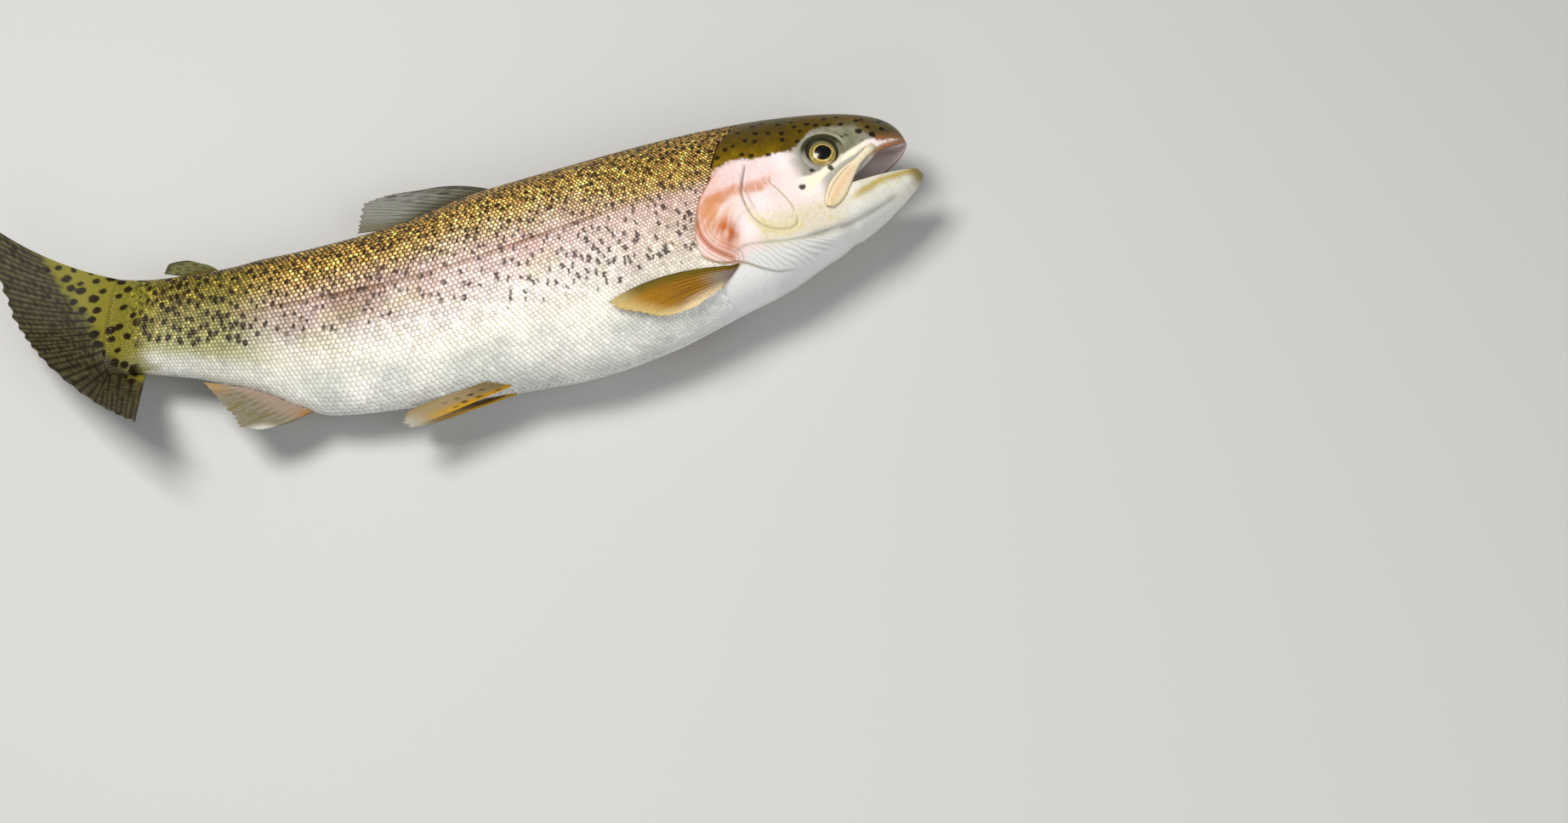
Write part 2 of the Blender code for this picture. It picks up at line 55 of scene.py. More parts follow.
# ------------------------------------------------------------------ the part's own form, repeated
BACK_BEND_HEAD, BACK_BEND_TAIL = 9.3, -11.8
LIFT_HEAD, LIFT_TAIL = 2.0, 0.2
BEND_POWER = 1.5
BODY_STATIONS = (
    (0.000, 0.000, 0.004, 0.0000, -0.002, 2.0),
    (0.010, 0.030, 0.009, 0.0190, -0.003, 2.1),
    (0.040, 0.053, 0.020, 0.0360, -0.006, 2.2),
    (0.090, 0.074, 0.094, 0.0480, -0.014, 2.3),
    (0.155, 0.092, 0.116, 0.0590, -0.024, 2.3),
    (0.200, 0.101, 0.130, 0.0640, -0.023, 2.2),
    (0.260, 0.109, 0.139, 0.0685, -0.022, 2.2),
    (0.360, 0.116, 0.157, 0.0740, -0.020, 2.1),
    (0.430, 0.117, 0.161, 0.0745, -0.020, 2.1),
    (0.505, 0.116, 0.155, 0.0725, -0.019, 2.1),
    (0.640, 0.096, 0.143, 0.0600, -0.020, 2.1),
    (0.735, 0.088, 0.135, 0.0500, -0.016, 2.1),
    (0.775, 0.085, 0.117, 0.0450, -0.011, 2.1),
    (0.810, 0.083, 0.096, 0.0405, -0.006, 2.1),
    (0.850, 0.077, 0.080, 0.0355, -0.003, 2.1),
    (0.900, 0.073, 0.064, 0.0300, 0.000, 2.1),
    (0.960, 0.070, 0.056, 0.0240, 0.003, 2.1),
    (1.000, 0.073, 0.056, 0.0110, 0.004, 2.1),
)
T_JAW_HINGE, T_TAIL_BASE = 0.094, 1.000
UPPER_LIP = ((0.000, -0.004), (0.012, -0.009), (0.036, -0.015), (0.060, -0.030), (0.095, -0.048))
LOWER_JAW_STATIONS = (
    (-0.003, -0.0490, -0.0520, 0.0000),
    (0.003, -0.0455, -0.0590, 0.0110),
    (0.020, -0.0460, -0.0685, 0.0220),
    (0.040, -0.0470, -0.0790, 0.0310),
    (0.060, -0.0475, -0.0880, 0.0370),
    (0.0935, -0.0510, -0.0985, 0.0440),
)
EYE_T, EYE_H = 0.1025, 0.0015
EYE_RADIUS, EYE_HALF_THICKNESS, EYE_PROUD = 0.0072, 0.0036, 0.0012
DORSAL_SPAN = (0.501, 0.627)
DORSAL_MARGIN = (
    (0.592, 0.1440, 0.0), (0.640, 0.1470, 0.0), (0.674, 0.1430, 0.0), (0.685, 0.1190, 0.0),
    (0.689, 0.1020, 0.0),
)
DORSAL_BOW = (0.0, 0.0065, 0.0)
ADIPOSE_SPAN = (0.871, 0.912)
ADIPOSE_MARGIN = ((0.893, 0.0885, 0.0), (0.915, 0.0950, 0.0), (0.937, 0.0920, 0.0), (0.943, 0.0790, 0.0))
ADIPOSE_BOW = (0.0, 0.002, 0.0)
ANAL_SPAN = (0.757, 0.850)
ANAL_MARGIN = (
    (0.816, -0.1490, 0.014), (0.836, -0.1420, 0.014), (0.846, -0.1240, 0.011), (0.864, -0.1000, 0.007),
    (0.885, -0.0725, 0.000),
)
ANAL_BOW = (0.0, -0.004, 0.0)
PELVIC_ROOT = ((0.535, 0.955), (0.546, 0.925), (0.559, 0.895))
PELVIC_MARGIN = (
    (0.646, -0.1820, 0.020), (0.653, -0.1720, 0.020), (0.651, -0.1600, 0.016), (0.634, -0.1500, 0.010),
)
PELVIC_MARGIN_TUCKED = (
    (0.642, -0.1620, 0.024), (0.650, -0.1570, 0.028), (0.648, -0.1500, 0.030), (0.632, -0.1430, 0.032),
)
PECTORAL_ROOT = ((0.251, 0.735), (0.259, 0.768), (0.270, 0.803))
PECTORAL_MARGIN = ((0.397, 0.703), (0.388, 0.730), (0.364, 0.770), (0.336, 0.812), (0.305, 0.823))
PECTORAL_BOW = (0.0, -0.036)
PECTORAL_LIFT = {1: (0.0012, 0.0032), -1: (0.0011, 0.0015)}
TAIL_ROOT = (
    (1.0010, 0.0730, 0.0), (1.0012, 0.0450, 0.0), (1.0012, 0.0150, 0.0), (1.0012, -0.0150, 0.0),
    (1.0010, -0.0560, 0.0), (0.9550, -0.0605, 0.0),
)
TAIL_MARGIN = (
    (1.2050, 0.1500, 0.000), (1.1680, 0.0780, 0.000), (1.1230, 0.0100, 0.004), (1.0750, -0.0430, 0.020),
    (0.9880, -0.1150, 0.050), (0.9310, -0.1560, 0.084),
)
TAIL_BOW = (0.0, -0.008, 0.0)


def smooth_curve(knots):
    """A function of the first column that passes through every knot, flat or rising as they are."""
    table = np.array(knots, float)
    x, y = table[:, 0], table[:, 1:]
    step = np.diff(x)[:, None]
    slope = np.diff(y, axis=0) / step
    turn = np.zeros_like(y)
    turn[0], turn[-1] = slope[0], slope[-1]
    before, after = slope[:-1], slope[1:]
    left, right = step[:-1], step[1:]
    same_way = before * after > 0
    weight_before, weight_after = 2 * right + left, right + 2 * left
    safe_before = np.where(same_way, before, 1.0)
    safe_after = np.where(same_way, after, 1.0)
    mean = (weight_before + weight_after) / (weight_before / safe_before + weight_after / safe_after)
    turn[1:-1] = np.where(same_way, mean, 0.0)

    def value(at):
        at = np.clip(np.asarray(at, float), x[0], x[-1])
        i = np.clip(np.searchsorted(x, at, side="right") - 1, 0, len(x) - 2)
        width = step[i, 0][..., None]
        s = ((at - x[i]) / step[i, 0])[..., None]
        near = (1 + 2 * s) * (1 - s) ** 2 * y[i] + s * (1 - s) ** 2 * width * turn[i]
        far = s * s * (3 - 2 * s) * y[i + 1] + s * s * (s - 1) * width * turn[i + 1]
        return near + far

    return value


def backbone():
    t = np.linspace(-0.05, 1.30, 540)
    share = np.clip(t, 0, None) ** BEND_POWER
    turn = np.radians(BACK_BEND_HEAD + (BACK_BEND_TAIL - BACK_BEND_HEAD) * share)
    lift = np.radians(LIFT_HEAD + (LIFT_TAIL - LIFT_HEAD) * share)
    ahead = np.stack([np.cos(lift) * np.cos(turn), np.cos(lift) * np.sin(turn), np.sin(lift)], axis=1)
    steps = (ahead[1:] + ahead[:-1]) / 2 * np.diff(t)[:, None] * LENGTH
    points = np.concatenate([np.zeros((1, 3)), -np.cumsum(steps, axis=0)])
    right = np.array([0.0, 0.0, 1.0]) - ahead[:, 2:] * ahead
    right /= np.linalg.norm(right, axis=1)[:, None]
    return t, points, np.cross(right, ahead), right


SPINE_T, SPINE_POINTS, SPINE_BACK, SPINE_RIGHT = backbone()
BODY = smooth_curve([(math.sqrt(row[0]),) + row[1:] for row in BODY_STATIONS])
LOWER_JAW = smooth_curve(LOWER_JAW_STATIONS)
LIP = smooth_curve(UPPER_LIP)
offset = np.zeros(3)


def along_spine(samples, t):
    return np.stack([np.interp(t, SPINE_T, samples[:, axis]) for axis in range(3)], axis=-1)


def place(t, h, w):
    """Points of the straight fish in the row frame, in metres."""
    t, h, w = np.broadcast_arrays(np.asarray(t, float), h, w)
    across = h[..., None] * along_spine(SPINE_BACK, t) + w[..., None] * along_spine(SPINE_RIGHT, t)
    return along_spine(SPINE_POINTS, t) + across * LENGTH + offset


def body_at(t):
    values = BODY(np.sqrt(np.clip(t, 0, None)))
    past = np.clip((np.asarray(t, float) - T_TAIL_BASE) / 0.014, 0, 1)
    thin = np.sqrt(1 - past**2)
    parts = [values[..., column] for column in range(5)]
    parts[2] = parts[2] * thin
    return parts


def half_section(t, a):
    """(h, w) of the right side at t."""
    back, belly, half_width, widest, square = body_at(t)
    angle = np.pi * np.asarray(a, float)
    reach = np.where(np.cos(angle) >= 0, back - widest, belly + widest)
    h = widest + reach * np.sign(np.cos(angle)) * np.abs(np.cos(angle)) ** (2 / square)
    return h, half_width * np.abs(np.sin(angle)) ** (2 / square)


def flank_angle(t, h):
    back, belly, _, widest, square = body_at(t)
    reach = np.where(h > widest, back - widest, belly + widest)
    share = np.clip((h - widest) / reach, -1, 1)
    return np.arccos(np.sign(share) * np.abs(share) ** (square / 2)) / np.pi


def body_point(t, a, side):
    """A point of the body, where a below 0 or above 1 goes on around the other flank."""
    turned = np.where(a < 0, -a, np.where(a > 1, 2 - a, a))
    side = np.where((a < 0) | (a > 1), -side, side)
    h, w = half_section(t, turned)
    return place(t, h, w * side)


def body_normal(t, a, side):
    step = 1e-3
    along = body_point(t + step, a, side) - body_point(t - step, a, side)
    down = body_point(t, a + step, side) - body_point(t, a - step, side)
    out = np.cross(along, down) * np.asarray(side, float)[..., None]
    return out / np.maximum(np.linalg.norm(out, axis=-1), 1e-12)[..., None]


def eye_axis(side):
    t, h = np.array([EYE_T]), np.array([EYE_H])
    a = flank_angle(t, h)
    out = body_normal(t, a, side)[0]
    return body_point(t, a, side)[0] + out * (EYE_PROUD - EYE_HALF_THICKNESS), out


low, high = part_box("eye_right")
offset = (np.array(low) + np.array(high)) / 2 - eye_axis(1)[0]

# ------------------------------------------------------------------ small tools


def srgb(red, green, blue):
    value = np.array([red, green, blue]) / 255
    return np.where(value <= 0.04045, value / 12.92, ((value + 0.055) / 1.055) ** 2.4)


def smooth(low_end, high_end, x):
    s = np.clip((np.asarray(x, float) - low_end) / (high_end - low_end), 0, 1)
    return s * s * (3 - 2 * s)


def bell(x, width):
    return np.exp(-((np.asarray(x, float) / width) ** 2))


def mixed(base, other, amount):
    amount = np.clip(amount, 0, 1)[..., None]
    return base + (np.asarray(other) - base) * amount


def painted(colour, *coats):
    """The colour under coats of ((red, green, blue), amount), each laid over the last."""
    for tone, amount in coats:
        colour = mixed(colour, srgb(*tone), amount)
    return colour


def ramp(x, stops):
    """Colours along x from stops of (x, (red, green, blue))."""
    places = [stop[0] for stop in stops]
    colours = np.array([srgb(*stop[1]) for stop in stops])
    return np.stack([np.interp(x, places, colours[:, k]) for k in range(3)], axis=-1)


def lattice_noise(x, y, seed):
    """Smooth noise from -1 to 1 with one bump or so per unit of x and y."""
    table = np.random.default_rng(seed).uniform(-1, 1, (256, 256))
    i, j = np.floor(x).astype(int), np.floor(y).astype(int)
    u, v = x - i, y - j
    u, v = u * u * (3 - 2 * u), v * v * (3 - 2 * v)
    def at(m, n):
        return table[m % 256, n % 256]
    near = at(i, j) * (1 - u) + at(i + 1, j) * u
    far = at(i, j + 1) * (1 - u) + at(i + 1, j + 1) * u
    return near * (1 - v) + far * v


def noise_mm(t, h, size, seed):
    """Noise over the flank with bumps about size mm across."""
    return lattice_noise(t / MM / size, h / MM / size, seed)


def spots_on(s, v, count_s, count_v, size, seed):
    """Soft round spots in rows, as a share of darkness."""
    rng = np.random.default_rng(seed)
    dark = np.zeros(s.shape)
    for i in range(count_s):
        for j in range(count_v):
            at_s = (i + 0.5 + rng.uniform(-0.2, 0.2)) / count_s
            at_v = (j + 0.5 + 0.5 * (i % 2) + rng.uniform(-0.2, 0.2)) / count_v
            gap = np.hypot((s - at_s) * count_s, (v - at_v) * count_v)
            dark = np.maximum(dark, (1 - smooth(0.6, 1.3, gap / size)) * rng.uniform(0.5, 1.0))
    return dark


def curve_points(knots, count=60):
    knots = np.array(knots, float)
    run = np.concatenate([[0], np.cumsum(np.linalg.norm(np.diff(knots, axis=0), axis=1))])
    return smooth_curve(np.hstack([run[:, None] / run[-1], knots]))(np.linspace(0, 1, count))


def to_curve(t, h, knots):
    """Distance in mm from points (t, h) to a curve, its sign by side, and the share along the curve.

    The sign is positive on the left of the curve's direction in a view with t to the right and h up.
    """
    line = curve_points(knots)
    start, run = line[:-1], np.diff(line, axis=0)
    t, h = np.ravel(t), np.ravel(h)
    best = np.full(t.shape, 1e9)
    sign, share = np.zeros(t.shape), np.zeros(t.shape)
    for k in range(len(run)):
        dt, dh = t - start[k, 0], h - start[k, 1]
        along = np.clip((dt * run[k, 0] + dh * run[k, 1]) / (run[k] @ run[k]), 0, 1)
        gap = np.hypot(dt - along * run[k, 0], dh - along * run[k, 1])
        nearer = gap < best
        best[nearer] = gap[nearer]
        sign[nearer] = np.sign(run[k, 0] * dh - run[k, 1] * dt)[nearer]
        share[nearer] = ((k + along) / len(run))[nearer]
    return best / MM, sign, share


def ends(share, start, end):
    """1 along a line, fading to 0 at its ends, with the share at which each fade stops."""
    return smooth(0.0, start, share) * smooth(1.0, end, share)


def height_on(knots, t):
    """h at t on a chain of straight runs."""
    return np.interp(t, *np.transpose(knots))


def mm_from(spot, t, h):
    return np.hypot(t - spot[0], h - spot[1]) / MM


def around_eye(t, h):
    """mm from the eye's middle, and 1 above it passing to 0 below it."""
    from_eye = mm_from((EYE_T, EYE_H), t, h)
    return from_eye, smooth(-0.2, 0.5, (h - EYE_H) / np.maximum(from_eye * MM, 1e-6))


def facing_out(points, faces):
    """The faces, turned over where they enclose the points inside out."""
    middle = points - points.mean(axis=0)
    volume = 0.0
    for group in faces:
        for k in range(1, group.shape[1] - 1):
            corner = [middle[group[:, j]] for j in (0, k, k + 1)]
            volume += np.sum(corner[0] * np.cross(corner[1], corner[2]))
    return faces if volume >= 0 else [group[:, ::-1] for group in faces]


PRESS_HEIGHT, PRESS_EASE = 0.00010, 0.00012  # m: the pressed flank's height, and how softly it gets there


def pressed(points):
    """The body's surface, flattened where the floor presses on it. Relief is added to it afterwards."""
    points = np.array(points, float)
    points[..., 2] = PRESS_HEIGHT + PRESS_EASE * np.logaddexp(0, (points[..., 2] - PRESS_HEIGHT) / PRESS_EASE)
    return points


def close_up(mesh):
    """Fills an eye's open back and turns every face outward."""
    solid = bmesh.new()
    solid.from_mesh(mesh)
    bmesh.ops.holes_fill(solid, edges=[edge for edge in solid.edges if edge.is_boundary])
    bmesh.ops.recalc_face_normals(solid, faces=solid.faces)
    solid.to_mesh(mesh)
    solid.free()


LOWEST = 0.00003  # m over the floor, which no vertex goes below


def mesh_object(name, points, faces, tint, look):
    """A smooth mesh from arrays of faces, each array's rows of one length, with its colours."""
    points = np.array(points, float)
    faces = facing_out(points, [group for group in faces if len(group)])
    points[:, 2] = np.maximum(points[:, 2], LOWEST)
    mesh = bpy.data.meshes.new(name)
    mesh.vertices.add(len(points))
    mesh.vertices.foreach_set("co", points.astype(np.float32).ravel())
    loops = np.concatenate([f.ravel() for f in faces])
    sizes = np.concatenate([np.full(len(f), f.shape[1]) for f in faces])
    mesh.loops.add(len(loops))
    mesh.loops.foreach_set("vertex_index", loops.astype(np.int32))
    mesh.polygons.add(len(sizes))
    mesh.polygons.foreach_set("loop_start", np.concatenate([[0], np.cumsum(sizes)[:-1]]).astype(np.int32))
    mesh.update(calc_edges=True)
    mesh.validate()
    if not name.startswith("scales_"):
        close_up(mesh)
    colours = mesh.color_attributes.new("tint", "FLOAT_COLOR", "POINT")
    rgba = np.ones((len(points), 4), np.float32)
    rgba[:, :3] = np.clip(tint, 0, 1)
    colours.data.foreach_set("color", rgba.ravel())
    mesh.materials.append(look)
    mesh.shade_smooth()
    made = bpy.data.objects.new(name, mesh)
    bpy.context.scene.collection.objects.link(made)
    return made


def grid_faces(rows, columns, first=0, turned=False):
    i, j = np.meshgrid(np.arange(rows - 1), np.arange(columns - 1), indexing="ij")
    a = (first + i * columns + j).ravel()
    quads = np.stack([a, a + 1, a + columns + 1, a + columns], axis=1)
    return quads[:, ::-1] if turned else quads


def set_inputs(node, inputs):
    """Sets a node's inputs, where Coat_Weight stands for Coat Weight."""
    for name, value in inputs.items():
        node.inputs[name.replace("_", " ")].default_value = value
    return node


def new_material(name, **inputs):
    """A material and its shader, with the shader's inputs set."""
    made = bpy.data.materials.new(name)
    made.use_nodes = True
    return made, set_inputs(made.node_tree.nodes["Principled BSDF"], inputs)


def material(name, roughness, coat, coat_roughness, bump, bump_size, subsurface=0.0, mottle=0.06,
             specular=0.5):
    """A skin-like finish: the piece's own markings, finely mottled, over a fine grain."""
    made, shader = new_material(
        name, Roughness=roughness, Specular_IOR_Level=specular, Coat_Weight=coat,
        Coat_Roughness=coat_roughness, Subsurface_Weight=subsurface,
        Subsurface_Radius=(0.004, 0.002, 0.001), Subsurface_Scale=0.5)
    tree = made.node_tree

    def node(kind, **inputs):
        return set_inputs(tree.nodes.new("ShaderNode" + kind), inputs)

    tint = node("Attribute")
    tint.attribute_name = "tint"
    where = node("TexCoord")
    noise = node("TexNoise", Scale=900.0, Detail=3.0)
    spread = node("MapRange", From_Min=0.3, From_Max=0.7, To_Min=1 - mottle, To_Max=1 + mottle)
    shade = node("VectorMath")
    shade.operation = "SCALE"
    grain = node("TexNoise", Scale=bump_size, Detail=4.0)
    raised = node("Bump", Strength=bump, Distance=0.0004)
    for source, output, target, socket in (
            (where, "Object", noise, "Vector"), (noise, "Fac", spread, "Value"),
            (tint, "Color", shade, 0), (spread, "Result", shade, "Scale"),
            (shade, "Vector", shader, "Base Color"), (where, "Object", grain, "Vector"),
            (grain, "Fac", raised, "Height"), (raised, "Normal", shader, "Normal")):
        tree.links.new(source.outputs[output], target.inputs[socket])
    return made


SKIN = material("wet skin", 0.34, 0.05, 0.08, 0.20, 1100.0, subsurface=0.05, specular=0.12)
SCALE = material("scales", 0.33, 0.04, 0.10, 0.06, 1500.0, mottle=0.05, specular=0.14)
BLADE = material("jaw blades", 0.38, 0.25, 0.10, 0.15, 900.0, subsurface=0.05, specular=0.4)
FIN = material("fin", 0.42, 0.04, 0.12, 0.15, 900.0, subsurface=0.05, mottle=0.08, specular=0.14)
EYE = material("eye", 0.22, 0.35, 0.03, 0.02, 2000.0, mottle=0.10, specular=0.35)

# ------------------------------------------------------------------ features of the head, as (t, h)
COVER_RIM = (
    (0.178, 0.014), (0.190, 0.0195), (0.207, 0.0235), (0.2236, 0.0200), (0.2367, 0.0107), (0.2504, -0.0023),
    (0.2641, -0.0198), (0.2716, -0.0384), (0.2735, -0.0574), (0.2673, -0.0757), (0.2573, -0.0867),
    (0.2460, -0.0952),
)
MEMBRANE_RIM = (
    (0.2690, -0.0300), (0.2735, -0.0432), (0.2797, -0.0611), (0.2810, -0.0787), (0.2723, -0.0905),
    (0.2548, -0.0985), (0.2442, -0.1000), (0.2317, -0.1055), (0.2155, -0.1148), (0.1974, -0.1203),
    (0.1730, -0.1204), (0.1480, -0.1129), (0.1143, -0.1035),
)
LOWER_COVER_LINE = (
    (0.250, -0.0940), (0.226, -0.0860), (0.206, -0.0890), (0.177, -0.0940), (0.148, -0.0955),
    (0.115, -0.0930),
)
PREOPERCLE = (
    (0.1949, 0.0160), (0.1986, 0.0067), (0.2061, -0.0098), (0.2123, -0.0286), (0.2111, -0.0444),
    (0.2067, -0.0595), (0.1992, -0.0704), (0.1855, -0.0788), (0.1718, -0.0819), (0.1618, -0.0785),
    (0.1587, -0.0670),
)
PREOPERCLE_CREST = (
    (0.1700, -0.0080), (0.1749, -0.0182), (0.1693, -0.0315), (0.1612, -0.0532), (0.1587, -0.0670),
)
OLIVE_EDGE = (
    (0.000, -0.006), (0.014, -0.003), (0.029, -0.005), (0.0376, 0.000), (0.042, 0.008), (0.053, 0.0257),
    (0.0825, 0.0345), (0.103, 0.0378), (0.118, 0.0271), (0.138, 0.0132), (0.150, 0.0165), (0.1655, 0.0171),
    (0.1836, 0.0172), (0.197, 0.0235), (0.212, 0.0254), (0.231, 0.0202), (0.245, 0.010),
)
STRIP_TOP = (
    (0.0480, 0.0000), (0.0560, -0.0030), (0.0633, -0.0055), (0.0813, -0.0113), (0.0997, -0.0185),
    (0.1139, -0.0243), (0.1275, -0.0271), (0.1400, -0.0260),
)
STRIP_BOTTOM = (
    (0.0480, -0.0050), (0.0665, -0.0141), (0.0845, -0.0193), (0.0988, -0.0254), (0.1130, -0.0338),
    (0.1249, -0.0407), (0.1350, -0.0500),
)
BAND = (
    (0.173, -0.0128), (0.1855, -0.0181), (0.2017, -0.0199), (0.2161, -0.0185), (0.2336, -0.0198),
    (0.2504, -0.0244), (0.2604, -0.0328),
)
RED_PATCH = ((0.2430, -0.0600), (0.2400, -0.0680), (0.2430, -0.0780))
JAW_GROOVE = (
    (0.0300, -0.0690), (0.0488, -0.0782), (0.0692, -0.0851), (0.0924, -0.0908), (0.1146, -0.0935),
    (0.1407, -0.0945), (0.1662, -0.0946),
)
BLADE_FRONT = (
    (0.0395, -0.0110), (0.0552, -0.0208), (0.0705, -0.0329), (0.0826, -0.0465), (0.0953, -0.0610),
    (0.1110, -0.0735),
)
BLADE_REAR = (
    (0.0447, -0.0059), (0.0611, -0.0157), (0.0731, -0.0228), (0.0860, -0.0278), (0.1060, -0.0400),
    (0.1290, -0.0670),
)
JAW_LINE = (
    (0.0038, -0.0495), (0.0173, -0.0500), (0.0348, -0.0529), (0.0506, -0.0545), (0.0699, -0.0616),
    (0.0880, -0.0676), (0.1000, -0.0720),
)
LATERAL_LINE = (
    (0.236, 0.014), (0.279, 0.0085), (0.386, 0.005), (0.491, -0.003), (0.599, -0.008), (0.708, -0.006),
    (0.822, -0.004), (0.921, -0.001), (1.000, -0.002),
)
SCALE_FRONT = (
    (0.240, -0.170), (0.250, -0.150), (0.2660, -0.1300), (0.2640, -0.1120), (0.2590, -0.1000),
    (0.2740, -0.0920), (0.2800, -0.0787), (0.2795, -0.0611), (0.2730, -0.0432), (0.2715, -0.0384),
    (0.2641, -0.0198), (0.2504, -0.0023), (0.2400, 0.0100), (0.2290, 0.0335), (0.2210, 0.0490),
    (0.2120, 0.0620), (0.2020, 0.0710), (0.1880, 0.0840), (0.1740, 0.0930), (0.1700, 0.1100),
)
HEAD_SPOTS = (
    (0.169, 0.072), (0.157, 0.073), (0.140, 0.062), (0.123, 0.060), (0.122, 0.050), (0.106, 0.049),
    (0.097, 0.043), (0.083, 0.038), (0.068, 0.034), (0.048, 0.034), (0.189, 0.067), (0.169, 0.057),
    (0.155, 0.051), (0.140, 0.045), (0.118, 0.040), (0.184, 0.050), (0.174, 0.044), (0.142, 0.034),
    (0.201, 0.047), (0.126, 0.025), (0.224, 0.036), (0.211, 0.045), (0.184, 0.024), (0.165, 0.018),
    (0.195, 0.030), (0.024, 0.014), (0.039, 0.020), (0.084, 0.051), (0.068, 0.049), (0.042, 0.034),
    (0.022, 0.027), (0.123, -0.0205), (0.101, -0.0238),
)
BIG_HEAD_SPOTS = ((0.0513, 0.0161), (0.0376, 0.0068), (0.1412, -0.0385))
NOSTRILS = ((0.0675, 0.0157), (0.0732, 0.0149))

FRONT_LINE = curve_points(SCALE_FRONT, 120)


def scale_front(h):
    """The t at which the scales begin, by height."""
    order = np.argsort(FRONT_LINE[:, 1])
    return np.interp(h, FRONT_LINE[order, 1], FRONT_LINE[order, 0])


# ------------------------------------------------------------------ markings
# The rim and dot stops, here and for the tail, hold the scales' own colours between them and at their
# middles, with a painted highlight on the middles and painted shade between the overlapping scales.
RIM_STOPS = (
    (0.00, (18, 12, 2)), (0.20, (26, 16, 2)), (0.28, (38, 23, 3)), (0.34, (58, 38, 12)), (0.40, (98, 72, 46)),
    (0.46, (162, 136, 124)), (0.52, (190, 170, 158)), (0.60, (204, 192, 180)), (0.70, (218, 214, 200)),
    (0.80, (208, 208, 200)), (1.0, (212, 212, 206)),
)
DOT_STOPS = (
    (0.00, (150, 126, 62)), (0.20, (196, 154, 72)), (0.28, (242, 192, 100)), (0.34, (246, 202, 126)),
    (0.40, (240, 212, 176)), (0.46, (244, 222, 216)), (0.52, (246, 232, 228)), (0.60, (246, 238, 232)),
    (0.70, (246, 242, 230)), (0.80, (236, 234, 224)), (1.0, (236, 234, 228)),
)
TAIL_RIM_STOPS = (
    (0.00, (34, 28, 6)), (0.20, (50, 42, 9)), (0.35, (76, 68, 26)), (0.50, (98, 92, 46)),
    (0.60, (106, 100, 52)), (0.70, (130, 127, 86)), (0.78, (180, 180, 164)), (1.0, (196, 196, 188)),
)
TAIL_DOT_STOPS = (
    (0.00, (116, 104, 40)), (0.20, (140, 122, 46)), (0.35, (156, 142, 70)), (0.50, (162, 154, 96)),
    (0.60, (162, 156, 100)), (0.70, (180, 177, 138)), (0.78, (210, 210, 200)), (1.0, (226, 226, 220)),
)
PINK, RUST, TAN = srgb(206, 160, 148), srgb(140, 94, 50), srgb(180, 142, 96)
INK, SLATE = (24, 14, 5), (54, 40, 34)


def line_angle(t):
    return flank_angle(t, smooth_curve(LATERAL_LINE)(t)[..., 0])


